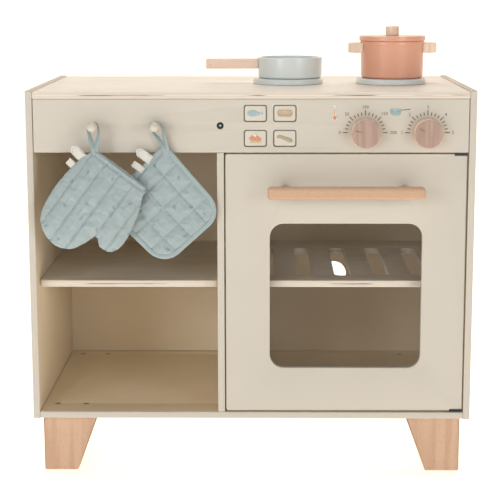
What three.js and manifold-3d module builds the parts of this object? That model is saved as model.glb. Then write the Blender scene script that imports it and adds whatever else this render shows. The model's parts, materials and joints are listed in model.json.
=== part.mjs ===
// A wooden toy kitchen: a plywood cabinet on four feet with an open shelf unit on the left, an oven with a
// hinged door on the right, a control panel with two dials and four push buttons, two hob discs with a pan
// and a lidded pot, and an oven mitt and a pot holder that hang from two pegs.
//
// Millimetres, +Z up, +X to the right and +Y to the back. Every piece is measured from the floor, from the
// middle of the cabinet and from the cabinet's front plane; one group then moves the kitchen so that its
// origin is the middle of its footprint.
import * as THREE from 'three';
import { mergeVertices } from 'three/addons/utils/BufferGeometryUtils.js';
import Module from 'manifold-3d';

const wasm = await Module();
wasm.setup();

// ---------------------------------------------------------------- driving dimensions

const GAP = 0.3; // between pieces that touch
const BOARD = 9; // plywood of the panels and the door
const WIDTH = 600;
const DEPTH = 320;
const HANDLE_REACH = 42; // the door handle's front face, in front of the cabinet

const INNER = WIDTH / 2 - BOARD; // inner faces of the side panels
const SIDE = { bottom: 80.6, top: 532.6 };
const BOTTOM_PANEL = { underside: 82, top: 91 };
const WORKTOP = { underside: 522, top: 531 };
const FASCIA = { bottom: 450.2, top: 521.7, sideGap: 1 };
const BACK_PANEL = { thickness: 4, holeX: 127.5, holeZ: 218.4, holeRadius: 19.5 };
const BACK_FACE = DEPTH - BACK_PANEL.thickness; // the face that the compartments see
const DIVIDER = { left: -45.2, right: -35.8 };
const SHELF = { top: 271, front: 22, cornerRadius: 6 };
const SLOT = { count: 5, pitch: 53.5, width: 22.5, front: 57, rear: 257 };
const FOOT = { outer: 289.5, topWidth: 76.5, bottomWidth: 47, thickness: 36, frontInset: 20, rearInset: 4 };

const DOOR = { left: -34, right: 289, bottom: 93.4, top: 448.4, cornerRadius: 3 };
const WINDOW = { left: 25.7, right: 230.6, bottom: 154.2, top: 354, cornerRadius: 18.5 };
const PANE = { overlap: 8, thickness: 2 };
const HANDLE = { centreX: 126, length: 207, bottom: 392.4, height: 16.4, depth: 16, screwSpacing: 160 };
const STANDOFF_RADIUS = 6;
const SCREW = { radius: 2, hole: 2.4, headRadius: 4, headHeight: 2.2 };
const HINGE = {
  pinX: 283, pinY: 4.5, pinRadius: 2, holeRadius: 2.4, boreRadius: 2.7, plate: 1.4, width: 16.6,
};
const HINGE_LEAF = { thickness: 1.6, notch: 2.4 };
const CATCH = { width: 15, front: 10.6, rear: 24, bottom: 405, top: 435 };

const BUTTON = { width: 28.4, height: 20.4, cornerRadius: 2.8, face: 0.9, flange: 3.3, flangeThickness: 3 };
const BUTTON_HOLE = { width: 30, height: 22, cornerRadius: 3.5 };
const BUTTON_COLUMNS = [6.2, 45.5];
const BUTTON_ROWS = [502.6, 469.3];
const BUTTON_NAMES = [['fish_button', 'bun_button'], ['cake_button', 'loaf_button']];
const BUTTON_BACK = { left: -22, right: 73.7, bottom: 454, top: 518, front: 25, rear: 31, spacer: 7.5 };
const SPRING = { radius: 5, wire: 0.6, turns: 4 };

const DIAL_Z = 477;
const DIAL_X = { temperature: 152.2, hob: 234.9 };
const DIAL = { radius: 19.3, front: -20, rear: -1, round: 2.5, axleRadius: 4, boreRadius: 4.4, nutRadius: 8 };
const FASCIA_SCREW = { x: -40.5, z: 486.3, headRadius: 4.2, headHeight: 2.2, length: 34 };

const PEG = { z: 487.7, ballRadius: 7, ballY: -30, neckRadius: 3, holeRadius: 3.4 };
const PEG_X = { mitt: -207.7, holder: -125.9 };

const HOB = { radius: 50, height: 7.7, round: 3 };
const HOB_CENTRES = { left: [52, 167], right: [200, 167] };
const COOKWARE_WALL = 5;
const PAN = { x: 54.7, radius: 46.2, height: 29.5, handleEnd: -66, handleLow: 13, handleSize: 14 };
const POT = {
  x: 201.5, radius: 45.1, rimRadius: 45.7, height: 52.7,
  grip: 18.2, gripWidth: 30, gripLow: 35.8, gripHeight: 14,
};
const LID = { radius: 47.2, height: 6.8, plugRadius: 38.4, plugHeight: 3, knobRadius: 9.5, knobHeight: 13 };

const MITT = { corner: [-206, 457.4], turn: 36.9, front: -37, thickness: 24, round: 5, cuff: 85 };
const MITT_POCKET = { margin: 9, depth: 58, gap: 8 };
const HOLDER = {
  centre: [-118, 379], turn: 50.3, side: 115, front: -11, thickness: 8.4, round: 28, loopRound: 6,
};
const LOOP = { radius: 6.2, tape: 1.2, width: 7, foot: 3, clearOfCorner: 1.6 };

// ---------------------------------------------------------------- materials

const finish = (color, roughness, metalness = 0) => (
  new THREE.MeshStandardMaterial({ color, roughness, metalness })
);
const creamPaint = finish(0xdcd2bf, 0.6);
const plywood = finish(0xe6d2b4, 0.6);
const beech = finish(0xdca67a, 0.55);
const greyBlue = finish(0xb9c1bb, 0.5);
const terracotta = finish(0xcf9575, 0.45);
const acrylic = finish(0xe8e8e2, 0.1);
const steel = finish(0xb4b6b8, 0.3, 1);
const blackSteel = finish(0x2a3238, 0.4, 1);
const whitePlastic = finish(0xe8e4da, 0.5);
const cotton = finish(0x9fb0b0, 0.95);

// ---------------------------------------------------------------- solids and cuts

// A closed geometry as a manifold solid, and back again.
function toSolid(geometry) {
  const bare = geometry.index ? geometry.toNonIndexed() : geometry.clone();
  bare.deleteAttribute('normal');
  bare.deleteAttribute('uv');
  const merged = mergeVertices(bare, 1e-4);
  return new wasm.Manifold(new wasm.Mesh({
    numProp: 3,
    vertProperties: new Float32Array(merged.attributes.position.array),
    triVerts: new Uint32Array(merged.index.array),
  }));
}

function toGeometry(solid) {
  const mesh = solid.getMesh();
  const geometry = new THREE.BufferGeometry();
  geometry.setAttribute('position', new THREE.BufferAttribute(mesh.vertProperties, 3));
  geometry.setIndex(new THREE.BufferAttribute(mesh.triVerts, 1));
  return geometry;
}

function cut(geometry, tools) {
  return toGeometry(tools.reduce((rest, tool) => rest.subtract(toSolid(tool)), toSolid(geometry)));
}

// ---------------------------------------------------------------- basic shapes

function block([x0, x1], [y0, y1], [z0, z1]) {
  const geometry = new THREE.BoxGeometry(x1 - x0, y1 - y0, z1 - z0);
  return geometry.translate((x0 + x1) / 2, (y0 + y1) / 2, (z0 + z1) / 2);
}

// A flat piece drawn as seen from the front, starting at frontY.
function upright(shape, frontY, thickness, round = 0) {
  const geometry = new THREE.ExtrudeGeometry(shape, {
    depth: thickness - 2 * round,
    bevelEnabled: round > 0,
    bevelThickness: round,
    bevelSize: round,
    bevelOffset: -round,
    bevelSegments: 2,
    curveSegments: 4,
  });
  return geometry.rotateX(Math.PI / 2).translate(0, frontY + thickness - round, 0);
}

// A flat piece drawn as seen from above, starting at lowZ.
function level(shape, lowZ, thickness) {
  const options = { depth: thickness, bevelEnabled: false, curveSegments: 5 };
  const geometry = new THREE.ExtrudeGeometry(shape, options);
  return geometry.translate(0, 0, lowZ);
}

// A turned piece; the profile's points are [radius, height along the axis], and it starts and ends on the
// axis or closes on itself, running so that the material is on its left.
function turned(profile, sides = 48) {
  return new THREE.LatheGeometry(profile.map(([radius, height]) => new THREE.Vector2(radius, height)), sides);
}

const turnedUp = (profile, [x, y, z], sides) => (
  turned(profile, sides).rotateX(Math.PI / 2).translate(x, y, z)
);
// The profile's heights run to the front, so a height h stands at y = -h.
const turnedForward = (profile, [x, z], sides) => turned(profile, sides).rotateX(Math.PI).translate(x, 0, z);

// A round bar, or the drill that makes its hole, running from front to back.
function rod(x, z, radius, frontY, rearY, sides = 24) {
  const geometry = new THREE.CylinderGeometry(radius, radius, rearY - frontY, sides);
  return geometry.translate(x, (frontY + rearY) / 2, z);
}

// The same, standing upright.
function post(x, y, radius, lowZ, highZ, sides = 24) {
  const geometry = new THREE.CylinderGeometry(radius, radius, highZ - lowZ, sides).rotateX(Math.PI / 2);
  return geometry.translate(x, y, (lowZ + highZ) / 2);
}

function roundedRectangle([x0, x1], [y0, y1], radii) {
  const four = Array.isArray(radii) ? radii : [radii, radii, radii, radii];
  const [lowLeft, lowRight, highRight, highLeft] = four;
  const quarter = Math.PI / 2;
  const shape = new THREE.Shape();
  shape.moveTo(x0 + lowLeft, y0);
  shape.absarc(x1 - lowRight, y0 + lowRight, lowRight, -quarter, 0, false);
  shape.absarc(x1 - highRight, y1 - highRight, highRight, 0, quarter, false);
  shape.absarc(x0 + highLeft, y1 - highLeft, highLeft, quarter, 2 * quarter, false);
  shape.absarc(x0 + lowLeft, y0 + lowLeft, lowLeft, 2 * quarter, 3 * quarter, false);
  return shape;
}

const around = (centre, size) => [centre - size / 2, centre + size / 2];

function polygon(points) {
  return new THREE.Shape(points.map(([x, y]) => new THREE.Vector2(x, y)));
}

function piece(name, geometry, material) {
  const mesh = new THREE.Mesh(geometry, material);
  mesh.name = name;
  return mesh;
}

function groupOf(pieces) {
  const group = new THREE.Group();
  group.add(...pieces);
  return group;
}

// ---------------------------------------------------------------- cabinet

function sidePanels() {
  const span = [SIDE.bottom, SIDE.top];
  return [
    piece('left_side_panel', block([-WIDTH / 2, -INNER], [0, DEPTH], span), creamPaint),
    piece('right_side_panel', block([INNER, WIDTH / 2], [0, DEPTH], span), creamPaint),
  ];
}

function worktop() {
  const reach = INNER - GAP;
  return piece('worktop', block([-reach, reach], [0, DEPTH], [WORKTOP.underside, WORKTOP.top]), plywood);
}

function bottomPanel() {
  const reach = INNER - GAP;
  const board = block([-reach, reach], [0, DEPTH], [BOTTOM_PANEL.underside, BOTTOM_PANEL.top]);
  const pinBore = post(HINGE.pinX, HINGE.pinY, HINGE.boreRadius, BOTTOM_PANEL.top - 5, BOTTOM_PANEL.top + 1);
  return piece('bottom_panel', cut(board, [pinBore]), creamPaint);
}

// The board with the dials, buttons and pegs, between the side panels.
function controlPanel() {
  const reach = INNER - FASCIA.sideGap;
  const board = block([-reach, reach], [0, BOARD], [FASCIA.bottom, FASCIA.top]);
  const through = (x, z, radius) => rod(x, z, radius, -1, BOARD + 1);
  const buttonHoles = BUTTON_ROWS.flatMap((z) => BUTTON_COLUMNS.map((x) => upright(
    roundedRectangle(around(x, BUTTON_HOLE.width), around(z, BUTTON_HOLE.height), BUTTON_HOLE.cornerRadius),
    -1,
    BOARD + 2,
  )));
  return piece('control_panel', cut(board, [
    ...buttonHoles,
    ...Object.values(DIAL_X).map((x) => through(x, DIAL_Z, DIAL.boreRadius)),
    ...Object.values(PEG_X).map((x) => through(x, PEG.z, PEG.holeRadius)),
    through(FASCIA_SCREW.x, FASCIA_SCREW.z, SCREW.hole),
    rod(FASCIA_SCREW.x, FASCIA_SCREW.z, FASCIA_SCREW.headRadius + GAP, -1, FASCIA_SCREW.headHeight + GAP),
    post(HINGE.pinX, HINGE.pinY, HINGE.boreRadius, FASCIA.bottom - 1, FASCIA.bottom + 5),
  ]), creamPaint);
}

function fasciaScrew() {
  const { x, z, headRadius, headHeight, length } = FASCIA_SCREW;
  const head = toSolid(rod(x, z, headRadius, 0.2, headHeight));
  const shank = toSolid(rod(x, z, SCREW.radius, headHeight - 0.5, length, 16));
  const socket = toSolid(rod(x, z, headRadius * 0.45, -1, headHeight * 0.6, 6));
  return piece('fascia_screw', toGeometry(head.add(shank).subtract(socket)), blackSteel);
}

// The upright board between the shelf unit and the oven, notched behind the control panel.
function divider() {
  const low = BOTTOM_PANEL.top + GAP;
  const high = WORKTOP.underside - GAP;
  const notch = BOARD + GAP;
  const board = block([DIVIDER.left, DIVIDER.right], [0, BACK_FACE - GAP], [low, high]);
  const notchX = [DIVIDER.left - 1, DIVIDER.right + 1];
  const fasciaSpace = block(notchX, [-1, notch], [FASCIA.bottom - GAP, high + 1]);
  const screwHole = rod(FASCIA_SCREW.x, FASCIA_SCREW.z, SCREW.hole, 0, FASCIA_SCREW.length + 1);
  return piece('divider', cut(board, [fasciaSpace, screwHole]), creamPaint);
}

function backPanel() {
  const reach = INNER - GAP;
  const board = block([-reach, reach], [BACK_FACE, DEPTH], [BOTTOM_PANEL.top + GAP, WORKTOP.underside - GAP]);
  const hole = rod(BACK_PANEL.holeX, BACK_PANEL.holeZ, BACK_PANEL.holeRadius, BACK_FACE - 1, DEPTH + 1);
  return piece('back_panel', cut(board, [hole]), creamPaint);
}

function shelves() {
  const low = SHELF.top - BOARD;
  const depth = [SHELF.front, BACK_FACE - GAP];
  const corners = [SHELF.cornerRadius, SHELF.cornerRadius, 0.5, 0.5];
  const leftShape = roundedRectangle([-INNER + GAP, DIVIDER.left - GAP], depth, corners);
  const ovenShape = roundedRectangle([DIVIDER.right + GAP, INNER - GAP], depth, corners);
  const slots = Array.from({ length: SLOT.count }, (_, index) => {
    const x = BACK_PANEL.holeX + (index - (SLOT.count - 1) / 2) * SLOT.pitch;
    return level(
      roundedRectangle(around(x, SLOT.width), [SLOT.front, SLOT.rear], SLOT.width / 2 - 0.01),
      low - 1,
      BOARD + 2,
    );
  });
  return [
    piece('left_shelf', level(leftShape, low, BOARD), plywood),
    piece('oven_shelf', cut(level(ovenShape, low, BOARD), slots), plywood),
  ];
}

// Each foot tapers on its inner side.
function feet() {
  const { outer, topWidth, bottomWidth, thickness, frontInset, rearInset } = FOOT;
  const top = BOTTOM_PANEL.underside - GAP;
  const rearY = DEPTH - rearInset - thickness;
  const places = [
    ['front_left', -1, frontInset], ['front_right', 1, frontInset],
    ['rear_left', -1, rearY], ['rear_right', 1, rearY],
  ];
  return places.map(([place, sign, frontY]) => {
    const outline = polygon([
      [sign * outer, 0],
      [sign * (outer - bottomWidth), 0],
      [sign * (outer - topWidth), top],
      [sign * outer, top],
    ]);
    return piece(`${place}_foot`, upright(outline, frontY, thickness), beech);
  });
}

function hobDiscs() {
  return Object.entries(HOB_CENTRES).map(([side, [x, y]]) => {
    const profile = [
      [0, 0], [HOB.radius, 0], [HOB.radius, HOB.height - HOB.round],
      [HOB.radius - HOB.round * 0.3, HOB.height - HOB.round * 0.3],
      [HOB.radius - HOB.round, HOB.height], [0, HOB.height],
    ];
    return piece(`${side}_hob_disc`, turnedUp(profile, [x, y, WORKTOP.top + GAP], 48), greyBlue);
  });
}

// A ball on a neck that plugs into the control panel; the profile runs forward from the tenon.
function pegs() {
  const { ballRadius, ballY, neckRadius } = PEG;
  const start = Math.asin(neckRadius / ballRadius);
  const steps = 6;
  const ball = Array.from({ length: steps + 1 }, (_, step) => {
    const angle = start + (step / steps) * (Math.PI - start);
    return [step === steps ? 0 : ballRadius * Math.sin(angle), -ballY - ballRadius * Math.cos(angle)];
  });
  const profile = [[0, -BOARD + GAP], [neckRadius, -BOARD + GAP], ...ball];
  return Object.entries(PEG_X).map(([name, x]) => (
    piece(`${name}_peg`, turnedForward(profile, [x, PEG.z], 16), creamPaint)
  ));
}

// ---------------------------------------------------------------- oven door

function ovenDoor() {
  const board = upright(
    roundedRectangle([DOOR.left, DOOR.right], [DOOR.bottom, DOOR.top], DOOR.cornerRadius),
    0,
    BOARD,
  );
  const opening = upright(
    roundedRectangle([WINDOW.left, WINDOW.right], [WINDOW.bottom, WINDOW.top], WINDOW.cornerRadius),
    -1,
    BOARD + 2,
  );
  const notchX = [HINGE.pinX + 6 - HINGE.width - 2 * GAP, DOOR.right + 1];
  const { notch } = HINGE_LEAF;
  return piece('oven_door', cut(board, [
    opening,
    block(notchX, [-1, BOARD + 1], [DOOR.top - notch, DOOR.top + 1]),
    block(notchX, [-1, BOARD + 1], [DOOR.bottom - 1, DOOR.bottom + notch]),
    ...handleScrewPlaces().map(([x, z]) => rod(x, z, SCREW.hole, -1, BOARD + 1, 16)),
  ]), creamPaint);
}

function windowPane() {
  const { overlap, thickness } = PANE;
  const shape = roundedRectangle(
    [WINDOW.left - overlap, WINDOW.right + overlap],
    [WINDOW.bottom - overlap, WINDOW.top + overlap],
    overlap,
  );
  return piece('window_pane', upright(shape, BOARD + GAP, thickness), acrylic);
}

function handleScrewPlaces() {
  const z = HANDLE.bottom + HANDLE.height / 2;
  return [-1, 1].map((side) => [HANDLE.centreX + side * HANDLE.screwSpacing / 2, z]);
}

// The bar, its two stand-offs and the screws that hold it from inside the door.
function doorHandle() {
  const rear = HANDLE.depth - HANDLE_REACH;
  const shape = roundedRectangle(
    around(HANDLE.centreX, HANDLE.length),
    [HANDLE.bottom, HANDLE.bottom + HANDLE.height],
    4,
  );
  const threadEnd = rear - 10;
  const places = handleScrewPlaces();
  const drills = places.map(([x, z]) => rod(x, z, SCREW.hole, threadEnd, rear + 1, 16));
  const bar = piece('door_handle_bar', cut(upright(shape, -HANDLE_REACH, HANDLE.depth, 3), drills), beech);
  const fixings = places.flatMap(([x, z], index) => {
    const side = ['left', 'right'][index];
    const screwHole = rod(x, z, SCREW.hole, rear, 1, 16);
    const standoff = cut(rod(x, z, STANDOFF_RADIUS, rear + GAP, -GAP, 24), [screwHole]);
    const shank = toSolid(rod(x, z, SCREW.radius, threadEnd + GAP, BOARD + 1, 16));
    const head = toSolid(rod(x, z, SCREW.headRadius, BOARD + GAP, BOARD + GAP + SCREW.headHeight, 24));
    return [
      piece(`${side}_handle_standoff`, standoff, beech),
      piece(`${side}_handle_screw`, toGeometry(shank.add(head)), steel),
    ];
  });
  return [bar, ...fixings];
}

// Pivot hinges in the gaps above and below the door: a leaf with a pin on the door, and a drilled plate on
// the cabinet.
function hinges() {
  const { pinX, pinY, pinRadius, holeRadius, plate, width } = HINGE;
  const spanX = [pinX + 5.7 - width, pinX + 5.7];
  const spanY = [0.8, 8.2];
  const { thickness, notch } = HINGE_LEAF;
  const build = (name, leafZ, pinZ, plateZ) => {
    const leaf = toSolid(block(spanX, spanY, leafZ)).add(toSolid(post(pinX, pinY, pinRadius, ...pinZ, 16)));
    const pinHole = post(pinX, pinY, holeRadius, plateZ[0] - 1, plateZ[1] + 1, 16);
    const drilled = cut(block(spanX, spanY, plateZ), [pinHole]);
    return [
      piece(`${name}_hinge_leaf`, toGeometry(leaf), steel),
      piece(`${name}_hinge_plate`, drilled, steel),
    ];
  };
  const upperLeaf = DOOR.top - notch + GAP;
  const lowerLeaf = DOOR.bottom + notch - GAP;
  return [
    build(
      'upper',
      [upperLeaf, upperLeaf + thickness],
      [upperLeaf + 0.5, FASCIA.bottom + 4],
      [FASCIA.bottom - GAP - plate, FASCIA.bottom - GAP],
    ),
    build(
      'lower',
      [lowerLeaf - thickness, lowerLeaf],
      [BOTTOM_PANEL.top - 4, lowerLeaf - 0.5],
      [BOTTOM_PANEL.top + GAP, BOTTOM_PANEL.top + GAP + plate],
    ),
  ];
}

// A magnet on the divider holds a steel plate on the back of the door.
function magnetCatch() {
  const left = DIVIDER.right + GAP;
  return piece(
    'magnet_catch',
    block([left, left + CATCH.width], [CATCH.front, CATCH.rear], [CATCH.bottom, CATCH.top]),
    whitePlastic,
  );
}

function strikePlate() {
  const depth = [BOARD + GAP, CATCH.front - GAP];
  const plate = block([DOOR.left + 1, DOOR.left + 17], depth, [CATCH.bottom + 3, CATCH.top - 3]);
  return piece('strike_plate', plate, steel);
}

// ---------------------------------------------------------------- controls

// A cap with a flange behind the panel that keeps it in its opening.
function buttonCap(name, x, z) {
  const cap = upright(
    roundedRectangle(around(x, BUTTON.width), around(z, BUTTON.height), BUTTON.cornerRadius),
    BUTTON.face,
    BOARD + 1 - BUTTON.face,
  );
  const flangeFront = BOARD + GAP;
  const flange = block(
    around(x, BUTTON.width + 2 * BUTTON.flange),
    [flangeFront, flangeFront + BUTTON.flangeThickness],
    around(z, BUTTON.height + 2 * BUTTON.flange),
  );
  return piece(name, toGeometry(toSolid(cap).add(toSolid(flange))), whitePlastic);
}

class Helix extends THREE.Curve {
  constructor(x, z, frontY, rearY) {
    super();
    Object.assign(this, { x, z, frontY, rearY });
  }

  getPoint(t, target = new THREE.Vector3()) {
    const angle = t * SPRING.turns * 2 * Math.PI;
    return target.set(
      this.x + SPRING.radius * Math.cos(angle),
      this.frontY + t * (this.rearY - this.frontY),
      this.z + SPRING.radius * Math.sin(angle),
    );
  }
}

function buttonSpring(name, x, z) {
  const { wire, turns } = SPRING;
  const clear = wire + GAP;
  const front = BOARD + GAP + BUTTON.flangeThickness + clear;
  const route = new Helix(x, z, front, BUTTON_BACK.front - clear);
  const section = new THREE.Shape().absarc(0, 0, wire, 0, 2 * Math.PI, false);
  const settings = { steps: turns * 10, bevelEnabled: false, extrudePath: route, curveSegments: 2 };
  return piece(name, new THREE.ExtrudeGeometry(section, settings), steel);
}

// The board behind the springs, on two battens.
function buttonFrame() {
  const { left, right, bottom, top, front, rear, spacer } = BUTTON_BACK;
  const battenY = [BOARD + GAP, front - GAP];
  return [
    piece('button_backboard', block([left, right], [front, rear], [bottom, top]), plywood),
    piece('left_button_batten', block([left, left + spacer], battenY, [bottom, top]), plywood),
    piece('right_button_batten', block([right - spacer, right], battenY, [bottom, top]), plywood),
  ];
}

function buttons() {
  return BUTTON_ROWS.flatMap((z, row) => BUTTON_COLUMNS.flatMap((x, column) => {
    const name = BUTTON_NAMES[row][column];
    return [buttonCap(name, x, z), buttonSpring(`${name}_spring`, x, z)];
  }));
}

// A turned knob on an axle that a nut holds behind the panel.
function dial(name, x) {
  const { radius, front, rear, round, axleRadius, boreRadius, nutRadius } = DIAL;
  const bore = -front - 6;
  const profile = [
    [boreRadius, -rear], [radius - 0.8, -rear], [radius, -rear + 0.8], [radius, -front - round],
    [radius - round * 0.3, -front - round * 0.3], [radius - round, -front],
    [0, -front], [0, bore], [boreRadius, bore],
    [boreRadius, -rear],
  ];
  const nutFront = BOARD + GAP;
  const nut = cut(rod(x, DIAL_Z, nutRadius, nutFront, nutFront + 5, 6), [
    rod(x, DIAL_Z, boreRadius, nutFront - 1, nutFront + 6),
  ]);
  return groupOf([
    piece(`${name}_knob`, turnedForward(profile, [x, DIAL_Z], 36), beech),
    piece(`${name}_axle`, rod(x, DIAL_Z, axleRadius, -bore + GAP, nutFront + 9), steel),
    piece(`${name}_nut`, nut, steel),
  ]);
}

// ---------------------------------------------------------------- cookware

// A turned vessel with a rounded foot and one wall thickness, standing on a hob disc.
function vesselProfile(radius, rimRadius, height) {
  const round = 4;
  const inner = radius - COOKWARE_WALL;
  return [
    [0, 0], [radius - round, 0], [radius - round * 0.3, round * 0.3], [radius, round],
    [radius, height - 6], [rimRadius, height - 5.5], [rimRadius, height],
    [inner, height], [inner, COOKWARE_WALL + 2], [inner - 2, COOKWARE_WALL], [0, COOKWARE_WALL],
  ];
}

const COOKWARE_Z = WORKTOP.top + GAP + HOB.height + GAP;

function pan() {
  const y = HOB_CENTRES.left[1];
  const { x, radius, height, handleEnd, handleLow, handleSize } = PAN;
  const low = COOKWARE_Z + handleLow;
  const stick = upright(
    roundedRectangle([handleEnd, x - radius + 6], [low, low + handleSize], 1.5),
    y - handleSize / 2,
    handleSize,
    1.2,
  );
  const clearOfBody = post(x, y, radius + GAP, COOKWARE_Z, COOKWARE_Z + height, 40);
  return groupOf([
    piece('pan_body', turnedUp(vesselProfile(radius, radius, height), [x, y, COOKWARE_Z], 40), greyBlue),
    piece('pan_handle', cut(stick, [clearOfBody]), beech),
  ]);
}

function pot() {
  const y = HOB_CENTRES.right[1];
  const { x, radius, rimRadius, height, grip, gripWidth, gripLow, gripHeight } = POT;
  const body = vesselProfile(radius, rimRadius, height);
  const low = COOKWARE_Z + gripLow;
  const clearOfBody = post(x, y, rimRadius + GAP, COOKWARE_Z, COOKWARE_Z + height, 40);
  const grips = Object.entries({ left: -1, right: 1 }).map(([side, sign]) => {
    const ends = [x + sign * (radius - 10), x + sign * (radius + grip - 0.6)].sort((a, b) => a - b);
    const shape = roundedRectangle(ends, around(y, gripWidth), 9);
    return piece(`${side}_pot_handle`, cut(level(shape, low, gripHeight), [clearOfBody]), beech);
  });
  return groupOf([
    piece('pot_body', turnedUp(body, [x, y, COOKWARE_Z], 40), terracotta),
    ...grips,
  ]);
}

// The lid rests on the pot's rim, with a plug that centres it.
function potLid() {
  const y = HOB_CENTRES.right[1];
  const z = COOKWARE_Z + POT.height + GAP;
  const { radius, height, plugRadius, plugHeight, knobRadius, knobHeight } = LID;
  const profile = [
    [0, -plugHeight], [plugRadius, -plugHeight], [plugRadius, 0], [radius, 0],
    [radius, height - 1], [radius - 1, height], [0, height],
  ];
  const knob = [
    [0, 0], [knobRadius, 0], [knobRadius, knobHeight - 1], [knobRadius - 1, knobHeight], [0, knobHeight],
  ];
  return groupOf([
    piece('pot_lid', turnedUp(profile, [POT.x, y, z], 40), terracotta),
    piece('lid_knob', turnedUp(knob, [POT.x, y, z + height + GAP], 24), beech),
  ]);
}

// ---------------------------------------------------------------- textiles

// The mitt is drawn with its cuff level: x runs along the cuff from the loop's corner, and the hand points
// down. The group turns it to the slant at which it hangs.
function ovenMitt() {
  const { corner, turn, front, thickness, round, cuff } = MITT;
  const outline = new THREE.Shape();
  outline.moveTo(cuff, 0);
  outline.lineTo(0, 0);
  const hand = [
    [-8, -22], [-12, -50], [-12.5, -80], [-6, -116], [12, -132],
    [33, -136], [52, -129], [64, -112], [69, -94],
    [82, -101], [96, -100], [106, -87], [105, -66], [98, -35],
  ];
  outline.splineThru([...hand, [cuff, 0]].map(([x, z]) => new THREE.Vector2(x, z)));
  const { margin, depth, gap } = MITT_POCKET;
  const pocket = block([margin, cuff - margin], around(front + thickness / 2, gap), [-depth, 1]);
  const hollow = cut(upright(outline, front, thickness, round), [pocket]);
  const mitt = piece('oven_mitt', hollow, cotton);
  mitt.position.set(corner[0], 0, corner[1]);
  mitt.rotation.y = THREE.MathUtils.degToRad(turn);
  return mitt;
}

function potHolder() {
  const { centre, turn, side, front, thickness, round, loopRound } = HOLDER;
  const shape = roundedRectangle(around(0, side), around(0, side), [round, round, round, loopRound]);
  const holder = piece('pot_holder', upright(shape, front, thickness, 2), cotton);
  holder.position.set(centre[0], 0, centre[1]);
  holder.rotation.y = THREE.MathUtils.degToRad(turn);
  return holder;
}

// A folded tape from a peg's neck down to the corner it is sewn to.
function hangingLoop(name, pegX, [footX, footZ], frontY) {
  const { radius, tape, width, foot, clearOfCorner } = LOOP;
  const sag = radius - tape - PEG.neckRadius - GAP;
  const centreZ = PEG.z - sag;
  const length = Math.hypot(footX - pegX, footZ - centreZ) - clearOfCorner;
  const shape = new THREE.Shape();
  shape.moveTo(-foot, -length);
  shape.lineTo(foot, -length);
  shape.absarc(0, 0, radius, 0, Math.PI, false);
  const hole = new THREE.Path();
  hole.moveTo(0, -length + 6);
  hole.lineTo(tape - radius, 0);
  hole.absarc(0, 0, radius - tape, Math.PI, 0, true);
  shape.holes.push(hole);
  const loop = piece(name, upright(shape, frontY, width), cotton);
  loop.position.set(pegX, 0, centreZ);
  loop.rotation.y = -Math.atan2(footX - pegX, centreZ - footZ);
  return loop;
}

function textiles() {
  const { centre, turn, side, loopRound } = HOLDER;
  const angle = THREE.MathUtils.degToRad(turn);
  const across = side / 2 - loopRound * 0.3;
  const holderCorner = [
    centre[0] + across * (Math.sin(angle) - Math.cos(angle)),
    centre[1] + across * (Math.cos(angle) + Math.sin(angle)),
  ];
  const mittCorner = [MITT.corner[0] + 2, MITT.corner[1] + 1];
  return [
    groupOf([ovenMitt(), hangingLoop('mitt_loop', PEG_X.mitt, mittCorner, -22.5)]),
    groupOf([potHolder(), hangingLoop('holder_loop', PEG_X.holder, holderCorner, -10.3)]),
  ];
}

// ---------------------------------------------------------------- the kitchen

const [[upperLeaf, upperPlate], [lowerLeaf, lowerPlate]] = hinges();

const cabinet = groupOf([
  ...sidePanels(), worktop(), bottomPanel(), controlPanel(), fasciaScrew(), divider(), backPanel(),
  ...shelves(), ...feet(), ...hobDiscs(), ...pegs(), upperPlate, lowerPlate, magnetCatch(), ...buttonFrame(),
]);
const door = groupOf([ovenDoor(), windowPane(), ...doorHandle(), upperLeaf, lowerLeaf, strikePlate()]);
const controls = groupOf([...buttons(), ...Object.entries(DIAL_X).map(([name, x]) => dial(name, x))]);

const kitchen = groupOf([cabinet, door, controls, pan(), pot(), potLid(), ...textiles()]);
kitchen.position.y = (HANDLE_REACH - DEPTH) / 2;

export default groupOf([kitchen]);
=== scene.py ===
"""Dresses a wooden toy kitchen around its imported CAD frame.

Every piece is placed from the frame's own boxes, in metres, with +Z up, +X to the right and +Y to the back.
Sizes inside the classes are written in millimetres and multiplied by MM where they are used.
"""

from __future__ import annotations

import json
import logging
import math
from dataclasses import dataclass, field
from enum import Enum
from typing import Any, Callable, Sequence

import bmesh
import bpy
from mathutils import Euler, Matrix, Vector, geometry, noise
from mathutils.bvhtree import BVHTree
from mathutils.kdtree import KDTree

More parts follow.
